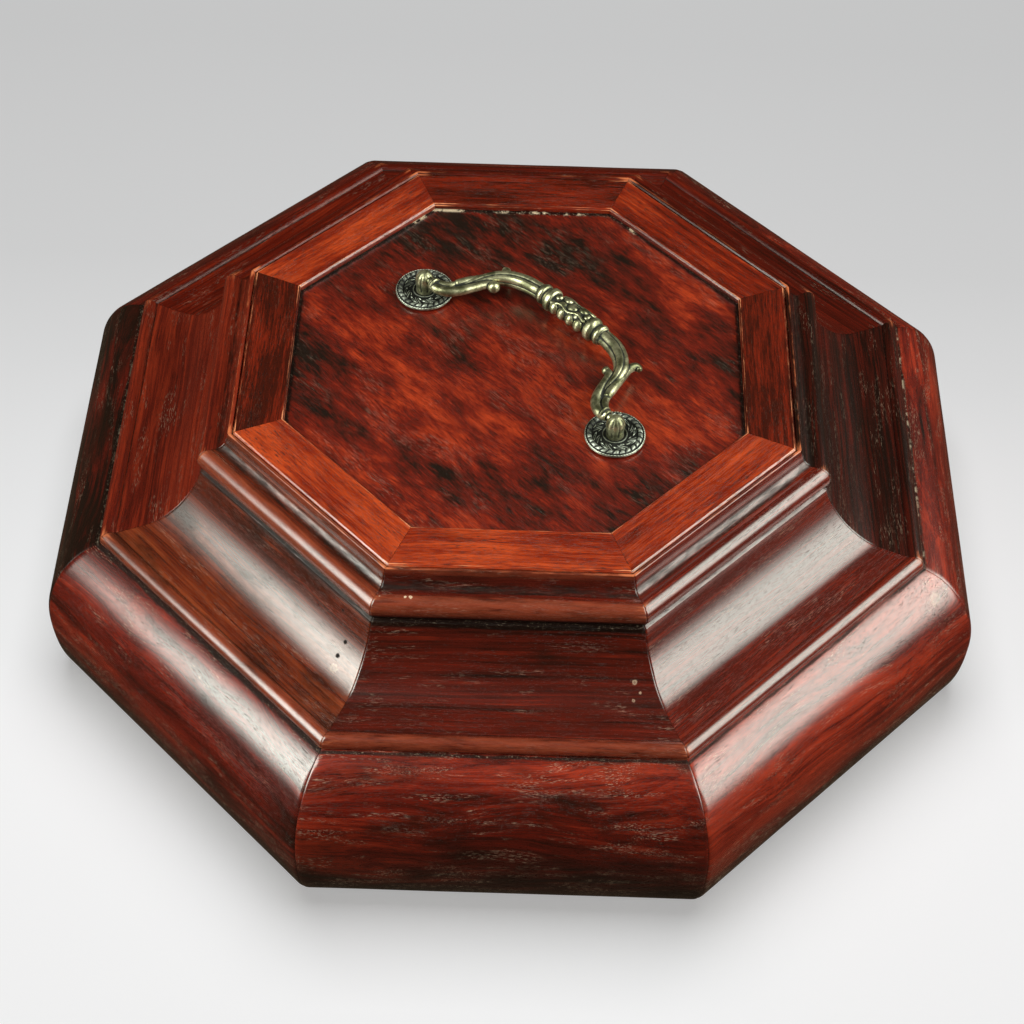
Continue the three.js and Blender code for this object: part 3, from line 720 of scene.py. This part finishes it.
# %% Name the finishes
finishes = {
    "wall": wood("body wood", chalk=0.36, **BODY),
    "wall front": wood("front body wood", chalk=0.56, scratch=(2.4, 0.16, 4.0), **BODY),
    "wall front_right": wood("plugged body wood", chalk=0.4, plugs=[((54.5, -151.2, 53.4), 2.0, 0.22)], **BODY),
    "moulding": wood("moulding wood", **RED_BROWN),
    "moulding front": wood("front moulding wood", crest_sheen_share=0.5, plugs=FRONT_PLUGS, **RED_BROWN),
    "moulding front_left": wood("worn moulding wood", crest_sheen_share=0.5, holes=WORM_HOLES,
                                plugs=[((39.7, -119.7, 62.9), 1.4, 0.3)], **OLIVE_BROWN),
    "rail": wood("rail wood", cloud=(40, 14, 0.6), streak=(90, 1.8, 0.4), fleck=(7, 0.5, 0.46), pores=1.0,
                 chalk=0.04, **ORANGE_BROWN),
    "panel": wood("panel wood", cloud=(38, 22, 0.8), streak=(14, 4.0, 0.54), fleck=(4.5, 0.5, 0.5), drift=(50, 8),
                  chalk=0.12, scratch=(6.0, 0.2, 10.0), gloss=0.36, lacquer=0.72, **FIGURED),
    "bottom": wood("board wood", gloss=0.6, lacquer=0.0, **PLAIN),
}
print("finishes:", ", ".join(finishes))

# %% Give each length its own tone and its own stains, and put the pieces in place of the plain solids
TONES = {
    "rail": (0.66, 0.60, 0.18, 0.34, 0.22, 0.60, 0.16, 0.76),
    "moulding": (0.29, 0.52, 0.12, 0.36, 0.40, 0.46, 0.62, 0.52),
    "wall": (0.56, 0.69, 0.52, 0.46, 0.46, 0.42, 0.02, 0.44),
}
STAINS = {
    "rail": (0.3, 0.35, 0.25, 0.2, 0.3, 0.2, 0.2, 0.25),
    "moulding": (0.25, 0.1, 0.5, 0.4, 0.4, 0.3, 0.1, 0.7),
    "wall": (0.62, 0.2, 0.15, 0.3, 0.3, 0.5, 0.8, 0.45),
}
MATT = {
    "rail": (0, 0, 0, 0.3, 0.4, 0.3, 0, 0),
    "moulding": (0, 0, 0, 0.5, 0.6, 0.95, 0, 0),
    "wall": (0,) * SIDES,
}
NODES = {"wall": "body_wall", "moulding": "lid_moulding", "rail": "lid_rail"}


def set_mark(piece, title, value):
    layer = piece.data.attributes.new(title, "FLOAT", "POINT")
    layer.data.foreach_set("value", [value] * len(piece.data.vertices))


for (kind, side), piece in lengths.items():
    for title, values in (("tone", TONES), ("dirt", STAINS), ("matt", MATT)):
        set_mark(piece, title, values[kind][side])
    piece.data.materials.append(finishes.get(f"{kind} {SIDE_NAMES[side]}", finishes[kind]))
    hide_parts(f"{NODES[kind]}_{SIDE_NAMES[side]}")
    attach(piece, "box")

for piece, node, slot in ((panel, "lid_panel", "panel_wood"), (bottom, "bottom_board", "board_wood")):
    piece.data.materials.append(finishes[piece.name])
    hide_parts(node)
    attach(piece, "box")
print("dressed", len(lengths) + 2, "pieces of wood")

# %% [markdown]
# ## The cast fittings: shapes
# Each end of the bail turns in a post, and each post stands on a small round plate, the rosette.
# All were cast in sand from a carved pattern, so their detail is soft at the bottom and sharp at
# the top. The rosettes are drawn as a height over a round grid, because every ring, bead and
# petal on them is a height. The posts are drawn as on a lathe, fluted, and drilled for the pins.
# The bail is a bundle of simple solids, fused into one skin by a fine voxel remesh and smoothed,
# which gives the soft joints of a casting that plain overlapping meshes don't have.

# %% Name the sizes of the fittings
POST_AT = 48.0
HANDLE_TURN = math.radians(-45)
PIVOT_Z = frame["joints"][0]["pos_m"][2] / MM
PIVOT_HEIGHT = PIVOT_Z - PANEL_TOP
ROSETTE_RADIUS = 10.4
SHOULDER_AT = 44.3
GRIP_OUT = 26.8
BAIL_REACH = 28.2
BAIL_TILT = math.asin((PIVOT_HEIGHT - 4.6) / BAIL_REACH)
print("pins", round(PIVOT_HEIGHT, 2), "mm above the panel, tilt", round(math.degrees(BAIL_TILT), 2), "degrees")


# %% Stand a fitting on the lid: x along the posts, y towards the grip, z up
def seat(made, along=0.0, turned=False, height=PANEL_TOP, tilt=0.0):
    turn = Matrix.Rotation(HANDLE_TURN, 4, "Z")
    move = Matrix.Translation((along * MM, 0, height * MM))
    spin = Matrix.Rotation(math.pi if turned else 0.0, 4, "Z") @ Matrix.Rotation(-tilt, 4, "X")
    made.data.transform(turn @ move @ spin)
    return made


# %% Raise the rosette's rings, rope of beads and petals over a round grid
def bump(distance, half):
    return np.sqrt(np.clip(1 - (distance / half) ** 2, 0, 1))


ROPE_AT, RIM_AT, PETALS_AT, SEAT_AT, FIELD_END = 8.7, 10.08, 6.3, 4.12, 7.8
ROPE_BEADS, RIM_BEADS, PETAL_COUNT = 26, 64, 8


def rosette_height(radius, angle):
    rope_turn = ROPE_BEADS * angle + 1.2 * (radius - ROPE_AT)
    uneven = 0.9 + 0.1 * np.sin(5 * angle + 1.0) * np.sin(11 * angle)
    rope = uneven * bump(radius - ROPE_AT, 0.85) * (0.25 + 0.75 * np.abs(np.cos(rope_turn / 2)) ** 0.4)
    rim = 0.42 * bump(radius - RIM_AT, 0.26) * (0.8 + 0.2 * np.cos(RIM_BEADS * angle))
    pitch, out = 2 * math.pi / PETAL_COUNT, radius - PETALS_AT
    across = ((angle - 0.16 * out) % pitch - pitch / 2) * PETALS_AT
    petal = 0.34 * bump(np.hypot(out / 1.3, across / 0.95), 1.0) - 0.22 * bump(across, 0.3) * bump(out, 1.3)
    between = ((angle + pitch / 2 - 0.3 * out) % pitch - pitch / 2) * PETALS_AT
    curl = 0.5 * bump(np.hypot(radius - 6.9, between) - 0.62, 0.24)
    curl = curl + 0.42 * bump(np.hypot(radius - 5.3, between), 0.4)
    seat_ring = 0.5 * bump(radius - SEAT_AT, 0.22)
    field = 0.3 + 0.12 * np.clip((radius - 5) / 4, 0, 1)
    inner = radius < FIELD_END
    return field + np.maximum.reduce([rope, rim, petal * inner, curl * inner, seat_ring])


print("the rope rim stands", round(float(rosette_height(ROPE_AT, 0.0)), 2), "mm above the panel")

# %% Make the two rosettes
def make_rosette(name, turned):
    around = 360
    zones = np.linspace(2.0, 4.9, 22), np.linspace(5.0, 7.9, 34), np.linspace(7.96, 10.34, 34)
    radii = np.concatenate([*zones, [ROSETTE_RADIUS] * 2])
    angles = np.arange(around) / around * 2 * math.pi
    radius, angle = np.meshgrid(radii, angles, indexing="ij")
    height = rosette_height(radius, angle)
    height[-2] = 0.45
    height[-1] = 0.0
    radius = np.vstack([radius, np.full((1, around), 2.0)])
    height = np.vstack([height, np.zeros((1, around))])
    angle = np.vstack([angle, angle[:1]])
    points = np.stack([radius * np.cos(angle), radius * np.sin(angle), height], -1).reshape(-1, 3)
    rings = len(radius)
    index = np.arange(rings * around).reshape(rings, around)
    here, ahead = index, np.roll(index, -1, axis=1)
    lower, upper = np.roll(here, -1, axis=0), np.roll(ahead, -1, axis=0)
    faces = np.stack([here, lower, upper, ahead], -1).reshape(-1, 4).tolist()
    made = make_object(name, points * MM, faces, {}, sharp=60)
    return seat(made, -POST_AT if turned else POST_AT, turned)


rosettes = {side: make_rosette(f"rosette_plate_{side}", side == "left") for side in ("left", "right")}
print("a rosette has", len(rosettes["left"].data.polygons), "faces")

# %% Turn an outline on the lathe, with flutes where they are wanted
FLUTE_SHARPNESS = 0.9


def lathe(outline, around, flutes=0, depth=0.0):
    angles = np.arange(around) / around * 2 * math.pi
    rings = []
    for (radius, height), deep in zip(outline, np.broadcast_to(depth, len(outline))):
        groove = 1 - deep * (1 - np.abs(np.cos(flutes * angles / 2)) ** FLUTE_SHARPNESS)
        x, y = radius * groove * np.cos(angles), radius * groove * np.sin(angles)
        rings.append(np.stack([x, y, 0 * angles + height], -1))
    points = np.concatenate([*rings, [[0, 0, outline[0][1]], [0, 0, outline[-1][1]]]])
    return points, tube_faces(len(outline), around)


print("a plain turned disc has", len(lathe([(1, 0), (1, 1)], 8)[0]), "points")

# %% Draw a smooth path through knots, and work a mesh with one of Blender's modifiers
def smooth_path(knots, count):
    knots = np.array(knots, float)
    padded = np.vstack([2 * knots[0] - knots[1], knots, 2 * knots[-1] - knots[-2]])
    made = []
    for k in range(len(knots) - 1):
        a, b, c, d = padded[k:k + 4]
        square, cube = 2 * a - 5 * b + 4 * c - d, 3 * b - a - 3 * c + d
        for t in np.linspace(0, 1, 24, endpoint=False):
            made.append(0.5 * (2 * b + (c - a) * t + square * t**2 + cube * t**3))
    made = np.array([*made, knots[-1]])
    run = np.concatenate([[0], np.cumsum(np.linalg.norm(np.diff(made[:, :3], axis=0), axis=1))])
    places = np.linspace(0, run[-1], count)
    return np.stack([np.interp(places, run, made[:, k]) for k in range(made.shape[1])], 1)


def applied(made, kind, **settings):
    modifier = made.modifiers.new(kind.lower(), kind)
    for key, value in settings.items():
        setattr(modifier, key, value)
    evaluated = made.evaluated_get(bpy.context.evaluated_depsgraph_get())
    worked = bpy.data.meshes.new_from_object(evaluated)
    made.modifiers.clear()
    made.data = worked
    return made


print("a path through 2 knots has", len(smooth_path([(0, 0), (1, 1)], 5)), "points")

# %% Turn a post, flute it, and drill it for the pin
POST = [
    (3.05, 0.35), (2.95, 1.0), (3.0, 2.2), (3.2, 3.6), (3.3, 4.8), (3.2, 6.0), (2.8, 7.2), (2.0, 8.2), (1.0, 8.85),
    (0.2, 9.0),
]
PIN_HOLE = 1.45
PIN_DEEP = -0.1


def make_post(name, turned):
    outline = smooth_path(POST, 72)
    depth = 0.07 * np.clip((outline[:, 1] - 0.5) / 1.2, 0, 1) * np.clip((9.05 - outline[:, 1]) / 0.9, 0.2, 1)
    points, faces = lathe(outline, 128, 8, depth)
    made = make_object(name, points * MM, faces, {})
    drill_points, drill_faces = lathe([(PIN_HOLE, -7.0), (PIN_HOLE, -PIN_DEEP)], 40)
    drill_points = drill_points[:, [2, 1, 0]] * (1, 1, -1) + (0, 0, PIVOT_HEIGHT)
    drill = make_object("drill", drill_points * MM, drill_faces, {})
    applied(made, "BOOLEAN", object=drill, operation="DIFFERENCE", solver="EXACT")
    bpy.data.objects.remove(drill)
    made.data.polygons.foreach_set("use_smooth", [True] * len(made.data.polygons))
    made.data.set_sharp_from_angle(angle=math.radians(60))
    return seat(made, -POST_AT if turned else POST_AT, turned)


posts = {side: make_post(f"bail_post_{side}", side == "left") for side in ("left", "right")}
print("a post has", len(posts["left"].data.polygons), "faces")

# %% Bend a bar along a path, and round a pebble
def bar(path, radius, groove=0.0, reeds=6, around=48, cap=0.6):
    path = np.array(path, float)
    run = np.gradient(path, axis=0)
    run /= np.linalg.norm(run, axis=1)[:, None]
    side = np.cross((0, 0, 1), run)
    side /= np.linalg.norm(side, axis=1)[:, None]
    top = np.cross(run, side)
    angles = np.arange(around) / around * 2 * math.pi
    shape = 1 - groove * (1 - np.abs(np.cos(reeds * angles / 2)) ** 0.45)
    width = np.broadcast_to(radius, len(path))[:, None]
    first, second = width * shape * np.cos(angles), width * shape * np.sin(angles)
    rings = path[:, None] + first[..., None] * side[:, None] + second[..., None] * top[:, None]
    ends = np.stack([path[0] - run[0] * width[0] * cap, path[-1] + run[-1] * width[-1] * cap])
    return np.concatenate([rings.reshape(-1, 3), ends]), tube_faces(len(path), around)


def pebble(centre, radii, lean=0.0, steps=18):
    outline = [(math.sin(t), -math.cos(t)) for t in np.linspace(0.02, math.pi - 0.02, steps)]
    points, faces = lathe(outline, 2 * steps)
    turn = np.array(Matrix.Rotation(lean, 3, "X"))
    return points * radii @ turn.T + centre, faces


print("a pebble has", len(pebble((0, 0, 0), (1, 1, 1))[1]), "faces")


# %% Lay out the arm: a reeded bar that rises between two strands, one ending in a bud and one in a leaf
ARM = [
    (37.0, 4.0, -0.5, 1.0), (35.4, 7.5, -0.3, 1.5), (34.3, 11.5, 0, 1.9), (33.1, 15.8, 0, 2.25),
    (31.0, 19.8, 0, 2.65), (27.4, 23.2, 0, 2.95), (22.7, 25.5, 0, 3.1), (17.5, 26.6, 0, 3.05), (13.5, 26.8, 0, 3.0),
]
INNER_STRAND = [
    (43.6, -0.7, -0.2, 1.6), (42.2, -0.9, -0.2, 1.65), (40.0, -0.6, -0.2, 1.75), (37.2, 1.1, -0.2, 1.75),
    (34.9, 4.1, -0.1, 1.7), (33.2, 7.9, 0, 1.65), (31.9, 11.5, 0.1, 1.6), (30.6, 14.3, 0.2, 1.5),
    (29.0, 15.5, 0.2, 1.3),
]
OUTER_STRAND = [
    (43.6, 0.9, 0, 1.4), (42.0, 1.4, 0.1, 1.4), (40.2, 2.6, 0.1, 1.35), (38.6, 4.6, 0, 1.25), (37.4, 7.2, 0, 1.1),
]
LEAF = [
    (37.9, 6.0, 0.5, 1.3), (36.6, 9.0, 0.3, 1.75), (35.3, 12.4, 0, 1.8), (34.1, 16.0, -0.4, 1.75),
    (32.9, 19.6, -0.8, 1.65), (31.9, 22.6, -1.1, 1.6), (31.9, 24.8, -1.3, 1.6), (32.7, 26.2, -1.5, 1.5),
    (34.3, 26.1, -1.8, 1.15),
]
BUD = (28.2, 15.2, 0.2)
BUD_RADIUS = {-1: 2.25, 1: 1.5}
print("the arm swells to", max(knot[3] for knot in ARM), "mm in radius")

# %% Build an arm from its strands, its bud and the rings at the pin
def strand(knots, hand, count, **settings):
    path = smooth_path(knots, count)
    return bar(path[:, :3] * (hand, 1, 1), path[:, 3], **settings)


def ring(hand, places, radii):
    return bar([(hand * (SHOULDER_AT + x), 0, 0) for x in places], radii, cap=0.05)


def arm_solids(hand):
    return [
        strand(ARM, hand, 90, groove=0.22, reeds=5),
        strand(INNER_STRAND, hand, 70, around=32),
        strand(OUTER_STRAND, hand, 40, around=32),
        strand(LEAF, hand, 60, groove=0.1, reeds=3, around=32),
        pebble(np.array(BUD) * (hand, 1, 1), (BUD_RADIUS[hand],) * 3),
        ring(hand, (-2.2, -1.9, -1.6, -1.35), (2.2, 2.6, 2.65, 2.2)),
        ring(hand, (-1.8, -1.2, -0.5, 0), (2.1, 2.0, 2.0, 1.9)),
        ring(hand, (-2, 0, 2, 3.3), (1.1, 1.1, 1.1, 1.1)),
    ]


print("an arm is made of", len(arm_solids(1)), "solids")

# %% Draw the grip: collars, a flower on top, scrolling ridges and rows of lobes
def round_grip(along, around, radius):
    return np.array([along, radius * math.sin(around), radius * math.cos(around)])


def on_grip(along, around, radius, radii):
    return pebble(round_grip(along, around, radius), radii, lean=-around)


def grip_core():
    half = [
        (3.45, 4), (3.2, 7.2), (3.4, 8.2), (4.15, 8.9), (4.35, 9.8), (4.3, 10.8), (3.7, 11.7), (3.0, 12.4),
        (3.3, 12.9), (3.75, 13.5), (3.75, 14.4), (3.3, 15.0), (2.9, 15.5), (0.3, 15.6),
    ]
    outline = smooth_path([*[(radius, -along) for radius, along in half[::-1]], (3.5, 0), *half], 260)
    points, faces = lathe(outline, 96)
    return points[:, [2, 1, 0]] * (1, 1, -1), faces


PETALS = [(-3.3, 0.46), (4.0, 0.46), (-3.2, -0.62), (3.8, -0.62), (0.3, -1.12)]
SMALL_BEADS = [(-6.7, 0.0), (7.1, 0.0)]


def grip_solids():
    made = [grip_core(), on_grip(0.3, -0.22, 3.3, (2.1, 1.6, 1.0))]
    made += [on_grip(along, around, 3.15, (1.9, 1.7, 1.15)) for along, around in PETALS]
    made += [on_grip(along, around, 3.3, (1.25, 1.4, 0.9)) for along, around in SMALL_BEADS]
    for hand, middle in ((-1, 0.66), (1, 1.12)):
        places = np.linspace(-7.8, 7.8, 60)
        scroll = [round_grip(x, hand * (middle + 0.13 * math.cos(0.8 * x) - 0.02 * x), 4.0) for x in places]
        made.append(bar(scroll, 0.55, around=16))
        for k in range(4):
            made.append(on_grip((k - 1.5) * 3.95, hand * (middle + 0.66), 3.3, (2.0, 2.4, 1.8)))
    made += [on_grip((k - 2) * 3.1, math.pi, 2.9, (1.3, 1.2, 1.2)) for k in range(5)]
    return [(points + (0, GRIP_OUT, 0), faces) for points, faces in made]


# %% Fuse the bail and soften it as a casting
def fuse(name, solids, voxel, rounds):
    points, faces, count = [], [], 0
    for some, others in solids:
        points.append(some)
        faces += [[i + count for i in face] for face in others]
        count += len(some)
    made = make_object(name, np.concatenate(points) * MM, faces, {})
    applied(made, "REMESH", mode="VOXEL", voxel_size=voxel * MM)
    applied(made, "SMOOTH", factor=0.5, iterations=rounds)
    made.data.polygons.foreach_set("use_smooth", [True] * len(made.data.polygons))
    return made


bail = fuse("brass_bail", [*grip_solids(), *arm_solids(-1), *arm_solids(1)], 0.18, 2)
seat(bail, height=PIVOT_Z, tilt=BAIL_TILT)
print("the bail has", len(bail.data.polygons), "faces")

# %% [markdown]
# ## Old brass
# The castings are brass whose hollows have gone nearly black and whose crowns hands have rubbed
# to a pale straw colour. A photographer's trick would paint that in, but it follows from the
# shape: a point that stands above its neighbours' average is a crown, and one below it a hollow.
# That height is measured on the mesh and kept on its points, and the finish mixes by it.

# %% Measure how far each point stands above its surroundings
def mark_crowns(made, rounds, reach):
    mesh = made.data
    count = len(mesh.vertices)
    points, normals = np.empty(count * 3), np.empty(count * 3)
    mesh.vertices.foreach_get("co", points)
    mesh.vertices.foreach_get("normal", normals)
    points, normals = points.reshape(-1, 3), normals.reshape(-1, 3)
    edges = np.empty(len(mesh.edges) * 2, int)
    mesh.edges.foreach_get("vertices", edges)
    first, second = edges.reshape(-1, 2).T
    share = np.bincount(first, minlength=count) + np.bincount(second, minlength=count)
    calm = points.copy()
    for _ in range(rounds):
        total = np.zeros_like(calm)
        for k in range(3):
            total[:, k] = np.bincount(first, calm[second, k], count) + np.bincount(second, calm[first, k], count)
        calm = 0.5 * calm + 0.5 * total / share[:, None]
    height = ((points - calm) * normals).sum(1) / MM / reach
    layer = mesh.attributes.new("crown", "FLOAT", "POINT")
    layer.data.foreach_set("value", np.clip(0.5 + 0.5 * height, 0, 1).astype(np.float32))
    return float(height.std())


print(bail.name, "relief", round(mark_crowns(bail, 34, 0.16), 2))
for group, reach in ((rosettes, 0.2), (posts, 0.16)):
    for made in group.values():
        print(made.name, "relief", round(mark_crowns(made, 30, reach), 2))

# %% Work out the brass finish and put the castings in place
def brass(name, bright, dull, hollow, low, high):
    bench = Bench(name)
    place = bench.node("ShaderNodeTexCoord", output="Object")
    cloudy = bench.noise(place, (4, 4, 4), 3.0, 0.6)
    grit = bench.noise(place, (0.5, 0.5, 0.5), 2.0, 0.6)
    raised = (bench.mark("crown") + (cloudy - 0.5) * 0.3 + (grit - 0.5) * 0.12).over(low, high)
    paint = bench.mix(raised, hollow, bench.mix(cloudy.over(0.35, 0.65), dull, bright))
    sockets = {
        "Base Color": paint,
        "Metallic": 0.3 + raised * 0.6,
        "Roughness": 0.6 - raised * 0.25 + (grit - 0.5) * 0.14,
    }
    return bench.finish(sockets, cloudy * 0.5 + grit * 0.5, 0.05 * MM)


bail_brass = brass("bail brass", colour(206, 203, 166), colour(112, 112, 82), colour(18, 19, 12), 0.36, 0.68)
plate_brass = brass("rosette brass", colour(206, 212, 198), colour(128, 132, 118), colour(12, 13, 10), 0.50, 0.86)
for made, node, finish, body in (
    (bail, "bail", bail_brass, "bail"),
    *((rosettes[side], f"rosette_{side}", plate_brass, "box") for side in rosettes),
    *((posts[side], f"post_{side}", bail_brass, "box") for side in posts),
):
    made.data.materials.clear()
    made.data.materials.append(finish)
    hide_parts(node)
    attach(made, body)
print("dressed 5 castings")

# %% [markdown]
# ## Floor, light and camera
# The box stands on a pale floor that glows a little, its brightness painted to fall off from near
# to far. Two soft boxes, low at the left and right, draw the broad grey reflections down the two
# near slanted sides, and a third light, high behind, falls on the floor alone. Light linking keeps
# them apart, so that the floor stays even and the wood deep.

# %% Lay the floor, which glows with a painted fall-off of light from near to far
FLOOR_GLOW_STOPS = [
    (0.0, 1.0), (0.157, 0.99), (0.2, 0.925), (0.264, 0.88), (0.336, 0.81),
    (0.414, 0.725), (0.5, 0.65), (0.714, 0.585), (1.0, 0.56),
]
FLOOR_NEAR, FLOOR_FAR = -0.2, 0.5


def glowing_floor_finish():
    bench = Bench("floor")
    place = bench.node("ShaderNodeNewGeometry", output="Position")
    away = bench.node("ShaderNodeSeparateXYZ", sockets={0: place}, output="Y")
    share = bench.node("ShaderNodeMapRange", sockets={"Value": away, "From Min": FLOOR_NEAR, "From Max": FLOOR_FAR})
    # Painted light: the floor's colour and its glow fall off from near to far.
    stops = [(place, (level, level, level, 1)) for place, level in FLOOR_GLOW_STOPS]
    paint = bench.node("ShaderNodeValToRGB", {"stops": stops}, {"Fac": share})
    sockets = {
        "Base Color": bench.mix(1.0, paint, (0.7, 0.7, 0.7, 1), "MULTIPLY"),
        "Roughness": 0.9,
        "Specular IOR Level": 0.0,
        "Emission Color": paint,
        "Emission Strength": 0.392,
    }
    return bench.finish(sockets, None, 0)


def lay_floor(reach=6.0):
    corners = [(-reach, -reach, 0), (reach, -reach, 0), (reach, reach, 0), (-reach, reach, 0)]
    made = make_object("floor", corners, [(0, 1, 2, 3)], {})
    made.data.materials.append(glowing_floor_finish())
    made.visible_glossy = False
    made.visible_diffuse = False
    return made


floor = lay_floor()
floor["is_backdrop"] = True
print("the floor darkens from", FLOOR_NEAR, "m to", FLOOR_FAR, "m")

# %% Fade a light towards its edges, as the cloth of a soft box does
def fade_light(light, fades):
    light.use_nodes = True
    tree = light.node_tree
    place = tree.nodes.new("ShaderNodeNewGeometry").outputs["Parametric"]
    split = tree.nodes.new("ShaderNodeSeparateXYZ")
    tree.links.new(place, split.inputs[0])
    strength = None
    for axis, (low, high) in zip("XY", fades):
        for start, end in ((0.0, low), (1.0, 1.0 - high)):
            edge = tree.nodes.new("ShaderNodeMapRange")
            edge.interpolation_type = "SMOOTHSTEP"
            edge.inputs["From Min"].default_value = start
            edge.inputs["From Max"].default_value = end
            tree.links.new(split.outputs[axis], edge.inputs["Value"])
            if strength is None:
                strength = edge.outputs[0]
            else:
                product = tree.nodes.new("ShaderNodeMath")
                product.operation = "MULTIPLY"
                tree.links.new(strength, product.inputs[0])
                tree.links.new(edge.outputs[0], product.inputs[1])
                strength = product.outputs[0]
    tree.links.new(strength, tree.nodes["Emission"].inputs["Strength"])


# %% Aim a soft box at the middle of the object
BOX_MIDDLE = Vector((0, 0, 0.06))
SOFT_TINT = (0.95, 1.0, 0.9)


def soft_box(name, azimuth, elevation, distance, size, radiance, lit, tint=SOFT_TINT, moved=(0, 0), fades=None):
    light = bpy.data.lights.new(name, "AREA")
    light.shape = "RECTANGLE"
    light.size, light.size_y = size
    light.energy = radiance * math.pi * size[0] * size[1]
    light.color = tint
    made = bpy.data.objects.new(name, light)
    around, above = math.radians(azimuth), math.radians(elevation)
    towards = Vector((math.sin(around) * math.cos(above), -math.cos(around) * math.cos(above), math.sin(above)))
    level = Vector((math.cos(around), math.sin(around), 0))
    upward = towards.cross(level)
    made.location = BOX_MIDDLE + towards * distance + level * moved[0] + upward * moved[1]
    made.rotation_euler = Matrix((level, upward, towards)).transposed().to_euler()
    made.light_linking.receiver_collection = lit
    if fades:
        fade_light(light, fades)
    bpy.context.scene.collection.objects.link(made)
    return made


# %% Hang the lights
box_only = bpy.data.collections.new("lit by the soft boxes")
floor_only = bpy.data.collections.new("lit from above")
floor_only.objects.link(floor)
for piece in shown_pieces():
    box_only.objects.link(piece)
soft_box("left soft box", -64, 34, 0.75, (0.45, 0.97), 11.2, box_only,
         moved=(-0.05, 0.035), fades=((0.5, 0.12), (0.34, 0.1)))
soft_box("right soft box", 96, 35, 0.95, (1.2, 1.3), 6.5, box_only,
         moved=(-0.13, -0.05), fades=((0.05, 0.3), (0.34, 0.25)))
soft_box("floor light", 180, 72, 1.6, (1.3, 1.3), 4.85, floor_only, (0.95, 0.97, 0.985))

world = bpy.data.worlds.new("studio")
bpy.context.scene.world = world
world.use_nodes = True
background = world.node_tree.nodes["Background"]
background.inputs["Color"].default_value = (0.9, 0.64, 0.42, 1)
background.inputs["Strength"].default_value = 0.048
print("lights:", ", ".join(light.name for light in bpy.data.lights))

# %% Set up the camera where the photograph was taken from
camera_data = bpy.data.cameras.new("camera")
camera_data.lens = 79.11
camera_data.sensor_width = 36
camera = bpy.data.objects.new("camera", camera_data)
eye = Vector((0.00384, -0.55189, 0.65350))
look_at = Vector((0.00005, -0.07111, 0.09530))
roll = math.radians(1.386)
aim = (look_at - eye).to_track_quat("-Z", "Y").to_matrix().to_4x4()
camera.rotation_euler = (aim @ Matrix.Rotation(roll, 4, "Z")).to_euler()
camera.location = eye
bpy.context.scene.collection.objects.link(camera)
bpy.context.scene.camera = camera
bpy.context.scene.view_settings.view_transform = "Standard"
print("camera at", tuple(round(v, 3) for v in camera.location))
